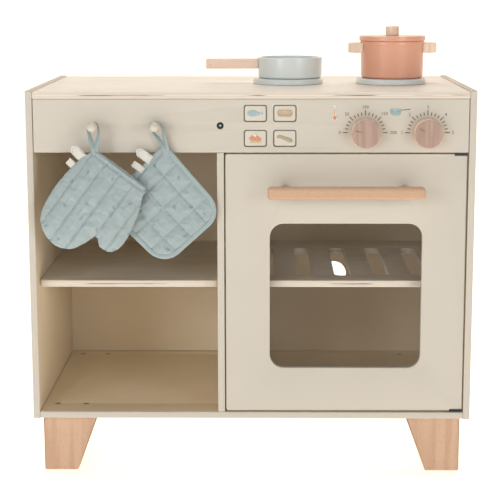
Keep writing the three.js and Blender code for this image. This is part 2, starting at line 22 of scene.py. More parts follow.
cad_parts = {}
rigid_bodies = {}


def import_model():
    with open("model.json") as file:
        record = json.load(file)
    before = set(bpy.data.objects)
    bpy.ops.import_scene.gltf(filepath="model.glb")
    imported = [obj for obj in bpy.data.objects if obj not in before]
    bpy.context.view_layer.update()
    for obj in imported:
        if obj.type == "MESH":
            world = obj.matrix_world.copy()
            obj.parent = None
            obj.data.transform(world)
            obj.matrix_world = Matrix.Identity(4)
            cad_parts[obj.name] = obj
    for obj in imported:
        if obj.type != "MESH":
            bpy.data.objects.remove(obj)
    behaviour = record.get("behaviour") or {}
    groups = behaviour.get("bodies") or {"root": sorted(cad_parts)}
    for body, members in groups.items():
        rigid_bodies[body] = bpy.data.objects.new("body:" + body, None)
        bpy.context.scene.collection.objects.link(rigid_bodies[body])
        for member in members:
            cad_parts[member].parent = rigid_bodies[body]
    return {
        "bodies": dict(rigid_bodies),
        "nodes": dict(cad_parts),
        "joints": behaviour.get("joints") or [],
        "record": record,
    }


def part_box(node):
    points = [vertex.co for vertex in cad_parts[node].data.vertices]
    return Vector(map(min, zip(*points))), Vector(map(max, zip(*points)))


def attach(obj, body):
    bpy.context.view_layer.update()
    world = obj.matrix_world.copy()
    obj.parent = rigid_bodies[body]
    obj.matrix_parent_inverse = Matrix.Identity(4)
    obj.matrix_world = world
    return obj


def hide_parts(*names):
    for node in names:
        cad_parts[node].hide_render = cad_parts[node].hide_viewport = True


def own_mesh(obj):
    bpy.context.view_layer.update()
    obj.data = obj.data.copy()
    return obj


log = logging.getLogger("toy_kitchen")

MM = 0.001
FULL_TURN = 2 * math.pi
FRONT_FACING = Euler((math.pi / 2, 0, 0))
INWARD = {
    "left_side_panel": Vector((1, 0, 0)), "right_side_panel": Vector((-1, 0, 0)),
    "back_panel": Vector((0, -1, 0)), "bottom_panel": Vector((0, 0, 1)),
}

Point = tuple[float, float]
Corner = tuple[float, float, float]
Colour = tuple[float, float, float, float]


# ------------------------------------------------------------------ colours and shader maths


def srgb(red: int, green: int, blue: int) -> Colour:
    """Turn an 8-bit screen colour into the linear colour that a shader takes.

    Args:
        red: Red from 0 to 255.
        green: Green from 0 to 255.
        blue: Blue from 0 to 255.

    Returns:
        The linear colour, opaque.
    """

    def linear(value: int) -> float:
        """Undo the screen's curve for one channel."""
        part = value / 255
        return part / 12.92 if part <= 0.04045 else ((part + 0.055) / 1.055) ** 2.4

    return (linear(red), linear(green), linear(blue), 1.0)


class Signal:
    """One number in a shader; the operators on it add the Math nodes they stand for."""

    def __init__(self, shader: "Shader", socket: bpy.types.NodeSocket) -> None:
        """Wrap a socket of the shader."""
        self.shader = shader
        self.socket = socket

    def _math(self, operation: str, *values: "Signal | float") -> "Signal":
        """Add one Math node.

        Args:
            operation: The node's operation.
            values: What feeds its inputs, in order.

        Returns:
            The node's result.
        """
        inputs = dict(enumerate(values))
        return Signal(
            self.shader, self.shader.add("ShaderNodeMath", {"operation": operation}, inputs).outputs[0]
        )

    @staticmethod
    def _operator(operation: str, flipped: bool = False) -> Callable[..., "Signal"]:
        """Make the method that adds one kind of Math node.

        Args:
            operation: The node's operation.
            flipped: Whether this signal comes second.

        Returns:
            The method.
        """

        def apply(signal: "Signal", *others: "Signal | float") -> "Signal":
            """Add the node."""
            return signal._math(operation, *(others + (signal,) if flipped else (signal,) + others))

        return apply

    __add__ = __radd__ = _operator("ADD")
    __sub__ = _operator("SUBTRACT")
    __rsub__ = _operator("SUBTRACT", flipped=True)
    __mul__ = __rmul__ = _operator("MULTIPLY")
    __truediv__ = _operator("DIVIDE")
    __pow__ = _operator("POWER")
    __abs__ = _operator("ABSOLUTE")
    sine = _operator("SINE")
    cosine = _operator("COSINE")
    fraction = _operator("FRACT")
    most = _operator("MAXIMUM")

    def ramp(self, low: float, high: float) -> "Signal":
        """Run smoothly from 0 at low to 1 at high.

        Args:
            low: The value that gives 0.
            high: The value that gives 1; it may be below low.

        Returns:
            The smooth step.
        """
        flip = high < low
        ends = (high, low) if flip else (low, high)
        node = self.shader.add(
            "ShaderNodeMapRange",
            {"interpolation_type": "SMOOTHSTEP", "clamp": True},
            {"Value": self, "From Min": ends[0], "From Max": ends[1]},
        )
        step = Signal(self.shader, node.outputs[0])
        return 1 - step if flip else step


class Shader:
    """A material under construction, around one Principled shader."""

    def __init__(self, name: str) -> None:
        """Start an empty material of that name."""
        self.material = bpy.data.materials.new(name)
        self.material.use_nodes = True
        self.nodes = self.material.node_tree.nodes
        self.links = self.material.node_tree.links
        self.nodes.clear()
        self.principled = self.add("ShaderNodeBsdfPrincipled")
        output = self.add("ShaderNodeOutputMaterial")
        self.links.new(self.principled.outputs[0], output.inputs["Surface"])

    def add(
        self, kind: str, settings: dict[str, Any] | None = None, inputs: dict[Any, Any] | None = None
    ) -> bpy.types.Node:
        """Add any node.

        Args:
            kind: The node's type.
            settings: Its properties, set first.
            inputs: Its sockets by name or number, each a value, a socket or a Signal.

        Returns:
            The node.
        """
        node = self.nodes.new(kind)
        for name, value in (settings or {}).items():
            setattr(node, name, value)
        for name, value in (inputs or {}).items():
            self.feed(node.inputs[name], value)
        return node

    def feed(self, socket: bpy.types.NodeSocket, value: Any) -> None:
        """Set or link one input.

        Args:
            socket: The input.
            value: A plain value, a socket or a Signal.
        """
        if isinstance(value, Signal):
            self.links.new(value.socket, socket)
        elif isinstance(value, bpy.types.NodeSocket):
            self.links.new(value, socket)
        else:
            socket.default_value = value

    def set(self, **values: Any) -> None:
        """Feed the Principled shader's inputs, named with underscores for spaces."""
        for name, value in values.items():
            self.feed(self.principled.inputs[name.replace("_", " ")], value)

    def place(self, stretch: Sequence[float] = (1, 1, 1), uv: bool = False) -> bpy.types.NodeSocket:
        """Give the object coordinates or the UV map, stretched.

        Args:
            stretch: The factor on each axis.
            uv: Whether to read the UV map.

        Returns:
            The vector socket.
        """
        source = self.add("ShaderNodeTexCoord").outputs["UV" if uv else "Object"]
        return self.add("ShaderNodeMapping", None, {"Vector": source, "Scale": tuple(stretch)}).outputs[0]

    def split(self, vector: bpy.types.NodeSocket) -> tuple[Signal, Signal, Signal]:
        """Split a vector into its three numbers."""
        node = self.add("ShaderNodeSeparateXYZ", None, {0: vector})
        return tuple(Signal(self, node.outputs[index]) for index in range(3))  # type: ignore[return-value]

    def noise(self, vector: Any, scale: float, detail: float = 2.0, distortion: float = 0.0) -> Signal:
        """Sample a noise.

        Args:
            vector: Where to sample it.
            scale: How many features to the metre.
            detail: Octaves of finer noise.
            distortion: How far the pattern is warped.

        Returns:
            The noise, from 0 to 1.
        """
        node = self.add(
            "ShaderNodeTexNoise", None,
            {"Vector": vector, "Scale": scale, "Detail": detail, "Distortion": distortion},
        )
        return Signal(self, node.outputs[0])

    def mix(self, factor: Any, first: Any, second: Any) -> bpy.types.NodeSocket:
        """Mix two colours.

        Args:
            factor: How much of the second.
            first: The first colour.
            second: The second colour.

        Returns:
            The mixed colour.
        """
        node = self.add("ShaderNodeMix", {"data_type": "RGBA"}, {0: factor, 6: first, 7: second})
        return node.outputs[2]

    def bump(self, height: Signal, strength: float, distance: float) -> None:
        """Let a height shape the surface's normal.

        Args:
            height: The height.
            strength: How much of it shows.
            distance: The height in metres that 1 stands for.
        """
        node = self.add(
            "ShaderNodeBump", None, {"Height": height, "Strength": strength, "Distance": distance}
        )
        self.set(Normal=node.outputs[0])


# ------------------------------------------------------------------ finishes


def shade(colour: Colour, factor: float) -> Colour:
    """Darken or lighten a linear colour."""
    return (colour[0] * factor, colour[1] * factor, colour[2] * factor, 1.0)


@dataclass(frozen=True)
class Paint:
    """Sprayed satin paint on sanded wood."""

    name: str
    colour: Colour
    roughness: float = 0.5
    coat: float = 0.0
    cloud: float = 0.03

    def material(self) -> bpy.types.Material:
        """Build the paint, with a faint cloud of tone and an orange peel."""
        shader = Shader(self.name)
        where = shader.place()
        cloud = shader.noise(where, 14.0, 3.0)
        peel = shader.noise(where, 750.0, 2.0)
        dust = shader.noise(where, 2600.0, 0.0).ramp(0.78, 0.82)
        tone = shader.mix(cloud, shade(self.colour, 1 - self.cloud), shade(self.colour, 1 + self.cloud))
        shader.set(
            Base_Color=shader.mix(dust * 0.25, tone, shade(self.colour, 0.8)),
            Roughness=peel * 0.14 + (self.roughness - 0.07),
            Coat_Weight=self.coat,
        )
        shader.bump(peel, 0.18, 0.05 * MM)
        return shader.material


@dataclass(frozen=True)
class PaintedEdge:
    """The same paint over a plywood edge, whose plies still show through."""

    name: str
    colour: Colour
    plies: int = 5
    depth: float = 0.10

    def material(self) -> bpy.types.Material:
        """Build the paint, with the plies as faint bands across the edge."""
        shader = Shader(self.name)
        _, across, _ = shader.split(shader.place(uv=True))
        wander = shader.noise(shader.place((6, 2, 1), uv=True), 6.0, 2.0)
        layer = across * self.plies + wander * 0.25
        seam = abs(layer.fraction() - 0.5).ramp(0.34, 0.5)
        end_grain = (layer * 0.5).fraction().ramp(0.45, 0.55)
        fibres = shader.noise(shader.place((900, 14, 1), uv=True), 1.0, 3.0)
        amount = seam * 0.55 + end_grain * 0.35 + fibres * end_grain * 0.3
        shader.set(
            Base_Color=shader.mix(
                amount * self.depth * 2.2, shade(self.colour, 1.02), shade(self.colour, 0.72)
            ),
            Roughness=fibres * 0.15 + 0.48,
        )
        shader.bump(fibres * end_grain + seam * -0.8, 0.3, 0.08 * MM)
        return shader.material


@dataclass(frozen=True)
class BirchFace:
    """The lacquered face veneer of birch plywood; the grain runs along the UV map's first axis."""

    name: str
    pale: Colour
    dark: Colour
    knots: float = 0.5

    def material(self) -> bpy.types.Material:
        """Build the veneer: broad rotary-cut figure, fine fibres and a few pin knots."""
        shader = Shader(self.name)
        figure = shader.noise(shader.place((2.2, 22, 1), uv=True), 1.0, 3.0, 1.2)
        rings = ((figure * 34.0).sine() * 0.5 + 0.5) ** 2.2
        fibres = shader.noise(shader.place((55, 1500, 1), uv=True), 1.0, 3.0)
        pores = shader.noise(shader.place((180, 2400, 1), uv=True), 1.0, 1.0).ramp(0.66, 0.74)
        pins = shader.add(
            "ShaderNodeTexVoronoi", {"feature": "F1"},
            {"Vector": shader.place((9, 14, 1), uv=True), "Scale": 1.0}
        )
        knot = Signal(shader, pins.outputs["Distance"]).ramp(0.045, 0.015) * self.knots
        tone = shader.mix(rings * 0.35 + fibres * 0.45, self.pale, self.dark)
        tone = shader.mix(pores * 0.35, tone, shade(self.dark, 0.72))
        shader.set(
            Base_Color=shader.mix(knot, tone, shade(self.dark, 0.35)),
            Roughness=fibres * 0.2 + 0.42,
            Coat_Weight=0.08,
        )
        shader.bump(fibres - pores * 0.7, 0.22, 0.06 * MM)
        return shader.material


@dataclass(frozen=True)
class PlyEdge:
    """A lacquered plywood edge: long-grain and end-grain plies, dark glue lines and a few voids."""

    name: str
    pale: Colour
    dark: Colour
    plies: int = 5

    def material(self) -> bpy.types.Material:
        """Build the edge; the UV map's second axis runs from one face to the other."""
        shader = Shader(self.name)
        wander = shader.noise(shader.place((9, 1.5, 1), uv=True), 1.0, 2.0)
        _, across, _ = shader.split(shader.place(uv=True))
        layer = across * self.plies + wander * 0.35 - 0.17
        glue = abs(layer.fraction() - 0.5).ramp(0.36, 0.5)
        end_grain = (layer * 0.5).fraction().ramp(0.46, 0.54)
        fibres = shader.noise(shader.place((40, 60, 1), uv=True), 1.0, 3.0)
        pits = shader.noise(shader.place((1500, 30, 1), uv=True), 1.0, 2.0)
        gaps = shader.noise(shader.place((15, 3, 1), uv=True), 1.0, 2.0).ramp(0.50, 0.62)
        # The voids are painted dark brown, a painted shade standing in for the holes in the core.
        void = gaps * abs(across - 0.5 + (wander - 0.5) * 0.16).ramp(0.10, 0.03)
        tone = shader.mix(end_grain * 0.6 + fibres * 0.25, self.pale, self.dark)
        tone = shader.mix(pits.ramp(0.45, 0.7) * end_grain * 0.4, tone, shade(self.dark, 0.7))
        tone = shader.mix(glue * 0.38, tone, shade(self.dark, 0.55))
        shader.set(Base_Color=shader.mix(void * 0.85, tone, srgb(92, 62, 40)), Roughness=pits * 0.2 + 0.45)
        shader.bump(pits * end_grain - void * 2.0 - glue * 0.5, 0.4, 0.12 * MM)
        return shader.material


class Grain(Enum):
    """Which way a solid piece's grain runs, as the stretch of its fibres on X, Y and Z."""

    ALONG_X = (0.045, 1.0, 1.0)
    ALONG_Y = (1.0, 0.045, 1.0)
    ALONG_Z = (1.0, 1.0, 0.045)


@dataclass(frozen=True)
class Beech:
    """Lacquered solid beech: soft growth rings and the short dark flecks of its rays."""

    name: str
    pale: Colour
    dark: Colour
    grain: Grain
    ring_pitch: float = 5.0
    tilt: float = 0.35
    flecks: float = 0.5

    def material(self) -> bpy.types.Material:
        """Build the wood from the object's coordinates."""
        shader = Shader(self.name)
        stretch = self.grain.value
        turned = shader.add(
            "ShaderNodeMapping", None,
            {
                "Vector": shader.place(), "Rotation": (self.tilt, self.tilt * 0.7, self.tilt * 0.5),
                "Scale": stretch
            },
        ).outputs[0]
        drift = shader.noise(turned, 24.0, 3.0, 0.6)
        rings = ((drift * (150.0 / self.ring_pitch)).sine() * 0.5 + 0.5) ** 1.6
        ray_place = shader.place(tuple(1.0 if value == 1.0 else 0.16 for value in stretch))
        rays = shader.noise(ray_place, 1300.0, 1.0).ramp(0.60, 0.70)
        fibres = shader.noise(shader.place(stretch), 1900.0, 2.0)
        tone = shader.mix(rings * 0.5 + fibres * 0.35, self.pale, self.dark)
        shader.set(
            Base_Color=shader.mix(rays * self.flecks, tone, shade(self.dark, 0.78)),
            Roughness=fibres * 0.16 + 0.4,
            Coat_Weight=0.06,
        )
        shader.bump(fibres - rays * 0.6, 0.2, 0.05 * MM)
        return shader.material


@dataclass(frozen=True)
class Metal:
    """Plated or blackened steel with a faint brushed streak."""

    name: str
    colour: Colour
    roughness: float = 0.32
    metallic: float = 1.0

    def material(self) -> bpy.types.Material:
        """Build the metal."""
        shader = Shader(self.name)
        streak = shader.noise(shader.place((60, 900, 900)), 1.0, 3.0)
        stain = shader.noise(shader.place(), 160.0, 2.0)
        shader.set(
            Base_Color=shader.mix(stain, shade(self.colour, 0.82), shade(self.colour, 1.1)),
            Roughness=streak * 0.2 + (self.roughness - 0.1),
            Metallic=self.metallic,
        )
        shader.bump(streak, 0.1, 0.02 * MM)
        return shader.material


@dataclass(frozen=True)
class Moulded:
    """Injection-moulded plastic with a fine spark texture."""

    name: str
    colour: Colour
    roughness: float = 0.45

    def material(self) -> bpy.types.Material:
        """Build the plastic."""
        shader = Shader(self.name)
        spark = shader.noise(shader.place(), 1800.0, 1.0)
        shader.set(
            Base_Color=shader.mix(spark * 0.3, self.colour, shade(self.colour, 0.9)),
            Roughness=spark * 0.15 + (self.roughness - 0.07),
        )
        shader.bump(spark, 0.2, 0.03 * MM)
        return shader.material


@dataclass(frozen=True)
class ClearSheet:
    """A clear acrylic sheet, with a film of dust."""

    name: str
    colour: Colour
    opacity: float = 0.01

    def material(self) -> bpy.types.Material:
        """Build the sheet."""
        shader = Shader(self.name)
        specks = shader.noise(shader.place(), 900.0, 1.0).ramp(0.80, 0.84)
        haze = shader.noise(shader.place(), 30.0, 2.0)
        shader.set(
            Base_Color=self.colour,
            Roughness=haze * 0.05 + 0.02,
            Alpha=specks * 0.3 + haze * 0.01 + self.opacity,
        )
        return shader.material


@dataclass(frozen=True)
class Ink:
    """Printed ink, a little thin in places."""

    name: str
    colour: Colour
    second: Colour | None = None

    def material(self) -> bpy.types.Material:
        """Build the ink; a second colour makes it mottled."""
        shader = Shader(self.name)
        mottle = shader.noise(shader.place(), 420.0, 2.0)
        worn = shader.noise(shader.place(), 2200.0, 1.0).ramp(0.55, 0.8)
        other = self.second or shade(self.colour, 1.25)
        tone = shader.mix(mottle.ramp(0.42, 0.6), self.colour, other)
        shader.set(Base_Color=shader.mix(worn * 0.2, tone, srgb(216, 208, 192)), Roughness=0.6)
        return shader.material


@dataclass(frozen=True)
class Cotton:
    """Plain-woven cotton, with a scattered print of small sprigs where it is asked for."""

    name: str
    colour: Colour
    ink: Colour = srgb(86, 100, 106)
    spacing: float = 32.0
    printed: bool = True
    yarn: float = 0.55

    def material(self) -> bpy.types.Material:
        """Build the cloth from the UV map, which is the flat cloth in metres."""
        shader = Shader(self.name)
        flat = shader.place(uv=True)
        along, across, _ = shader.split(flat)
        pitch = FULL_TURN / (self.yarn * MM)
        warp = abs((along * (pitch / 2)).sine())
        weft = abs((across * (pitch / 2)).sine())
        weave = warp * weft
        slub = shader.noise(shader.place((500, 60, 1), uv=True), 1.0, 2.0) + shader.noise(
            shader.place((60, 500, 1), uv=True), 1.0, 2.0
        )
        fade = shader.noise(flat, 30.0, 2.0)
        tone = shader.mix(slub * 0.5, shade(self.colour, 0.88), shade(self.colour, 1.10))
        tone = shader.mix(fade * 0.3, tone, shade(self.colour, 1.12))
        # The gaps between the yarns are painted darker than their crowns, a painted shade.
        tone = shader.mix(weave * 0.25, shade(self.colour, 0.75), tone)
        if self.printed:
            tone = shader.mix(self._sprigs(shader, flat) * 0.72, tone, self.ink)
        shader.set(Base_Color=tone, Roughness=0.92, Sheen_Weight=0.25, Sheen_Roughness=0.5)
        shader.bump(weave + slub * 0.6, 0.35, 0.12 * MM)
        return shader.material

    def _sprigs(self, shader: Shader, flat: bpy.types.NodeSocket) -> Signal:
        """Draw one small sprig, a stem with three pairs of leaves, in each cell of a scattered grid.

        Args:
            shader: The shader.
            flat: The flat cloth's coordinates.

        Returns:
            1 on the print and 0 off it.
        """
        cell = self.spacing * MM
        node = shader.add(
            "ShaderNodeTexVoronoi",
            {"voronoi_dimensions": "2D", "feature": "F1"},
            {"Vector": flat, "Scale": 1 / cell, "Randomness": 0.55},
        )
        away = shader.add(
            "ShaderNodeVectorMath", {"operation": "SUBTRACT"}, {0: flat, 1: node.outputs["Position"]}
        )
        side, rise, _ = shader.split(away.outputs[0])
        chance, _, _ = shader.split(node.outputs["Color"])
        angle = chance * FULL_TURN
        turned_side = side * angle.cosine() + rise * angle.sine()
        turned_rise = rise * angle.cosine() - side * angle.sine()
        bow = turned_side - turned_rise * turned_rise * 35.0
        mask = abs(bow).ramp(0.34 * MM, 0.16 * MM) * abs(turned_rise).ramp(3.9 * MM, 3.5 * MM)
        mirrored = abs(bow)
        for height, size in ((-1.0, 1.0), (0.9, 0.85), (2.7, 0.65)):
            reach = mirrored - 1.25 * size * MM
            lift = turned_rise - height * MM - mirrored * 0.75
            leaf = ((reach / (1.15 * size * MM)) ** 2 + (lift / (0.42 * size * MM)) ** 2).ramp(1.15, 0.8)
            mask = mask.most(leaf)
        return mask


class Finishes:
    """Every finish of the kitchen, made once and shared."""

    def __init__(self) -> None:
        """Build the materials."""
        cream = srgb(196, 191, 181)
        birch, birch_dark = srgb(236, 231, 222), srgb(222, 207, 188)
        beech, beech_dark = srgb(204, 173, 149), srgb(185, 147, 119)
        cloth = srgb(173, 190, 194)
        self.cream = Paint("cream_satin_paint", cream).material()
        self.cream_edge = PaintedEdge("cream_paint_on_ply_edge", cream).material()
        self.birch = BirchFace("birch_veneer", birch, birch_dark).material()
        self.birch_edge = PlyEdge("birch_ply_edge", shade(birch, 0.86), shade(birch_dark, 0.9)).material()
        self.beech_x = Beech("beech_along_x", beech, beech_dark, Grain.ALONG_X).material()
        self.beech_z = Beech("beech_along_z", beech, beech_dark, Grain.ALONG_Z).material()
        self.knob_face = Beech(
            "stained_knob_face", srgb(178, 154, 143), srgb(154, 125, 112), Grain.ALONG_Z, 2.2, 0.25, 0.3
        ).material()
        self.knob_rim = Beech("beech_knob_rim", srgb(240, 212, 182), beech, Grain.ALONG_Y, 6.0).material()
        self.pale_beech = Beech(
            "pale_beech", srgb(245, 226, 210), srgb(226, 198, 174), Grain.ALONG_Z, 4.0
        ).material()
        self.handle_beech = Beech(
            "handle_beech", srgb(248, 222, 206), srgb(232, 192, 166), Grain.ALONG_X, 4.0
        ).material()
        self.grey_blue = Paint("grey_blue_satin_paint", srgb(218, 226, 226), 0.36, 0.2, 0.02).material()
        self.terracotta = Paint("terracotta_satin_paint", srgb(224, 165, 138), 0.34, 0.25, 0.03).material()
        self.button_paint = Paint("button_paint", srgb(203, 198, 187), 0.5).material()
        self.acrylic = ClearSheet("clear_acrylic", srgb(222, 218, 208)).material()
        self.steel = Metal("zinc_plated_steel", srgb(168, 176, 180)).material()
        self.hinge_steel = Metal("hinge_steel", srgb(70, 80, 86), 0.35, 0.8).material()
        # The compartments' insides are the same cream as outside; this lighter, warmer copy is painted warm
        # bounce light.
        self.cream_painted_bounce = Paint("inner_cream_paint", srgb(232, 216, 190)).material()
        self.black_steel = Metal("blackened_steel", srgb(44, 54, 60), 0.35, 0.8).material()
        self.plastic = Moulded("catch_plastic", srgb(226, 222, 212)).material()
        self.dark_plastic = Moulded("dark_plastic", srgb(40, 38, 36)).material()
        self.scale_ink = Ink("scale_ink", srgb(112, 94, 72)).material()
        self.number_ink = Ink("number_ink", srgb(118, 106, 92)).material()
        self.pointer_ink = Ink("pointer_ink", srgb(134, 108, 70)).material()
        self.blue_ink = Ink("blue_ink", srgb(134, 160, 168), srgb(152, 174, 178)).material()
        self.fish_ink = Ink("fish_ink", srgb(162, 184, 188), srgb(146, 170, 178)).material()
        self.bun_ink = Ink("bun_ink", srgb(186, 172, 146), srgb(178, 158, 130)).material()
        self.pink_ink = Ink("pink_ink", srgb(196, 158, 148)).material()
        self.cake_ink = Ink("cake_ink", srgb(198, 134, 106), srgb(206, 152, 122)).material()
        self.cream_ink = Ink("cream_ink", srgb(214, 206, 192)).material()
        self.loaf_ink = Ink("loaf_ink", srgb(156, 150, 134), srgb(172, 158, 132)).material()
        self.red_ink = Ink("red_ink", srgb(196, 116, 92)).material()
        self.pale_blue_ink = Ink("pale_blue_ink", srgb(172, 186, 188)).material()
        self.cotton = Cotton("printed_cotton", cloth).material()
        self.tape = Cotton("cotton_tape", srgb(172, 190, 194), printed=False).material()
        self.label = Cotton("woven_label", srgb(232, 232, 226), printed=False, yarn=0.35).material()
        self.label_thread = Cotton("label_thread", srgb(196, 198, 194), printed=False, yarn=0.35).material()
        self.thread = Cotton("sewing_thread", srgb(152, 168, 172), printed=False, yarn=0.3).material()


# ------------------------------------------------------------------ outlines


def fillet(corners: Sequence[Corner], closed: bool = True, step: float = math.radians(9)) -> list[Point]:
    """Round an outline's corners.

    Args:
        corners: The corners as (x, y, radius).
        closed: Whether the last corner joins the first.
        step: The angle between points on an arc.

    Returns:
        The outline's points.
    """
    points: list[Point] = []
    count = len(corners)
    for index, (x, y, radius) in enumerate(corners):
        here = Vector((x, y))
        if radius <= 0 or (not closed and index in (0, count - 1)):
            points.append((x, y))
            continue
        before = (Vector(corners[index - 1][:2]) - here).normalized()
        after = (Vector(corners[(index + 1) % count][:2]) - here).normalized()
        half = before.angle(after) / 2
        reach = radius / math.tan(half)
        centre = here + (before + after).normalized() * (radius / math.sin(half))
        start = here + before * reach - centre
        end = here + after * reach - centre
        sweep = math.atan2(start.x * end.y - start.y * end.x, start.dot(end))
        steps = max(2, round(abs(sweep) / step))
        for count_along in range(steps + 1):
            angle = sweep * count_along / steps
            cosine, sine = math.cos(angle), math.sin(angle)
            points.append((
                centre.x + start.x * cosine - start.y * sine,
                centre.y + start.x * sine + start.y * cosine,
            ))
    return points


def rectangle(x0: float, x1: float, y0: float, y1: float, radius: float) -> list[Point]:
    """A rectangle with round corners."""
    return fillet([(x0, y0, radius), (x1, y0, radius), (x1, y1, radius), (x0, y1, radius)])


def circle(x: float, y: float, radius: float, sides: int = 40) -> list[Point]:
    """A round outline."""
    return [
        (x + radius * math.cos(FULL_TURN * index / sides), y + radius * math.sin(FULL_TURN * index / sides))
        for index in range(sides)
    ]


def smooth_open(points: Sequence[Point], steps: int = 7) -> list[Point]:
    """Run an open smooth curve through a few points.

    Args:
        points: The points.
        steps: New points for each stretch.

    Returns:
        The curve's points, from the first to the last.
    """
    last = len(points) - 1
    spots = [
        catmull([points[max(0, min(last, index + shift))] for shift in (-1, 0, 1, 2)], step / steps)
        for index in range(last)
        for step in range(steps)
    ]
    return [*spots, tuple(points[-1])]


def smooth_outline(points: Sequence[Point], steps: int = 6) -> list[Point]:
    """Run a closed smooth curve through a few points.

    Args:
        points: The points.
        steps: New points for each stretch.

    Returns:
        The closed curve's points.
    """
    count = len(points)
    return [
        catmull([points[(index + shift) % count] for shift in (-1, 0, 1, 2)], step / steps)
        for index in range(count)
        for step in range(steps)
    ]


def catmull(four: Sequence[Point], part: float) -> Point:
    """Interpolate between the middle two of four points."""
    result = []
    for before, first, second, after in zip(*four):
        result.append(0.5 * (
            2 * first
            + (second - before) * part
            + (2 * before - 5 * first + 4 * second - after) * part**2
            + (3 * first - before - 3 * second + after) * part**3
        ))
    return (result[0], result[1])


# ------------------------------------------------------------------ meshes and pieces


class Plane(Enum):
    """The plane in which a board is drawn; its value names its three directions' axes."""

    FRONT = (0, 2, 1)
    SIDE = (1, 2, 0)
    TOP = (0, 1, 2)


def link(name: str, mesh: bpy.types.Mesh) -> bpy.types.Object:
    """Put a mesh into the scene."""
    piece = bpy.data.objects.new(name, mesh)
    bpy.context.scene.collection.objects.link(piece)
    return piece


def plain_mesh(source: bpy.types.Object, name: str) -> bpy.types.Mesh:
    """Evaluate an object, take its result as a plain mesh and remove the object.

    Args:
        source: The object, with its modifiers.
        name: The new mesh's name.

    Returns:
        The plain mesh.
    """
    bpy.context.view_layer.update()
    graph = bpy.context.evaluated_depsgraph_get()
    mesh = bpy.data.meshes.new_from_object(source.evaluated_get(graph), depsgraph=graph)
    mesh.name = name
    data = source.data
    bpy.data.objects.remove(source)
    if isinstance(data, bpy.types.Mesh) and data.users == 0:
        bpy.data.meshes.remove(data)
    return mesh


def tidy(mesh: bpy.types.Mesh, merge: float = 0.002 * MM, smooth: float = 32.0) -> None:
    """Merge doubles, turn the faces outwards and smooth all but the sharp edges.

    Args:
        mesh: The mesh.
        merge: The distance below which points are one.
        smooth: The largest angle in degrees that is smoothed.
    """
    work = bmesh.new()
    work.from_mesh(mesh)
    bmesh.ops.remove_doubles(work, verts=work.verts, dist=merge)
    bmesh.ops.recalc_face_normals(work, faces=work.faces)
    work.to_mesh(mesh)
    work.free()
    mesh.shade_smooth()
    mesh.set_sharp_from_angle(angle=math.radians(smooth))


def slab(
    name: str, loops: Sequence[Sequence[Point]], low: float, high: float, plane: Plane, ease: float
) -> bpy.types.Object:
    """Cut a flat piece with eased edges.

    Args:
        name: The piece's name.
        loops: Its outline and the outlines of its holes, in metres in its plane.
        low: Where its thickness starts.
        high: Where its thickness ends.
        plane: The plane in which it is drawn.
        ease: The radius of its edges.

    Returns:
        The piece, at its place.
    """
    curve = bpy.data.curves.new(name, "CURVE")
    curve.dimensions = "2D"
    curve.fill_mode = "BOTH"
    curve.extrude = (high - low) / 2 - ease
    curve.bevel_depth = ease
    curve.bevel_resolution = 2
    curve.offset = -ease
    for loop in loops:
        spline = curve.splines.new("POLY")
        spline.points.add(len(loop) - 1)
        spline.use_cyclic_u = True
        for point, (x, y) in zip(spline.points, loop):
            point.co = (x, y, 0, 1)
    source = bpy.data.objects.new(name, curve)
    bpy.context.scene.collection.objects.link(source)
    mesh = plain_mesh(source, name)
    bpy.data.curves.remove(curve)
    turn = Matrix.Identity(4)
    for column, row in enumerate(plane.value):
        for index in range(3):
            turn[index][column] = 1.0 if index == row else 0.0
    offset = Vector((0, 0, 0))
    offset[plane.value[2]] = (low + high) / 2
    mesh.transform(Matrix.Translation(offset) @ turn)
    mesh.materials.clear()
    tidy(mesh)
    return link(name, mesh)


def turned(
    name: str, profile: Sequence[Point], centre: Vector, axis: Vector, sides: int = 96
) -> bpy.types.Object:
    """Turn a profile round an axis.

    Args:
        name: The piece's name.
        profile: Points as (radius, height), which start and end on the axis or close on themselves.
        centre: Where height 0 is.
        axis: The direction of the heights.
        sides: The number of facets round the axis.

    Returns:
        The piece, at its place.
    """
    work = bmesh.new()
    rotation = Vector((0, 0, 1)).rotation_difference(axis)
    rings = []
    for radius, height in profile:
        if radius < 1e-7:
            rings.append([work.verts.new(centre + rotation @ Vector((0, 0, height)))])
            continue
        rings.append([
            work.verts.new(centre + rotation @ Vector((
                radius * math.cos(FULL_TURN * side / sides),
                radius * math.sin(FULL_TURN * side / sides), height,
            )))
            for side in range(sides)
        ])
    for first, second in zip(rings, rings[1:]):
        for side in range(sides):
            corners = [
                first[side % len(first)], first[(side + 1) % sides % len(first)],
                second[(side + 1) % sides % len(second)], second[side % len(second)],
            ]
            unique = list(dict.fromkeys(corners))
            if len(unique) > 2:
                work.faces.new(unique)
    mesh = bpy.data.meshes.new(name)
    work.to_mesh(mesh)
    work.free()
    tidy(mesh)
    return link(name, mesh)


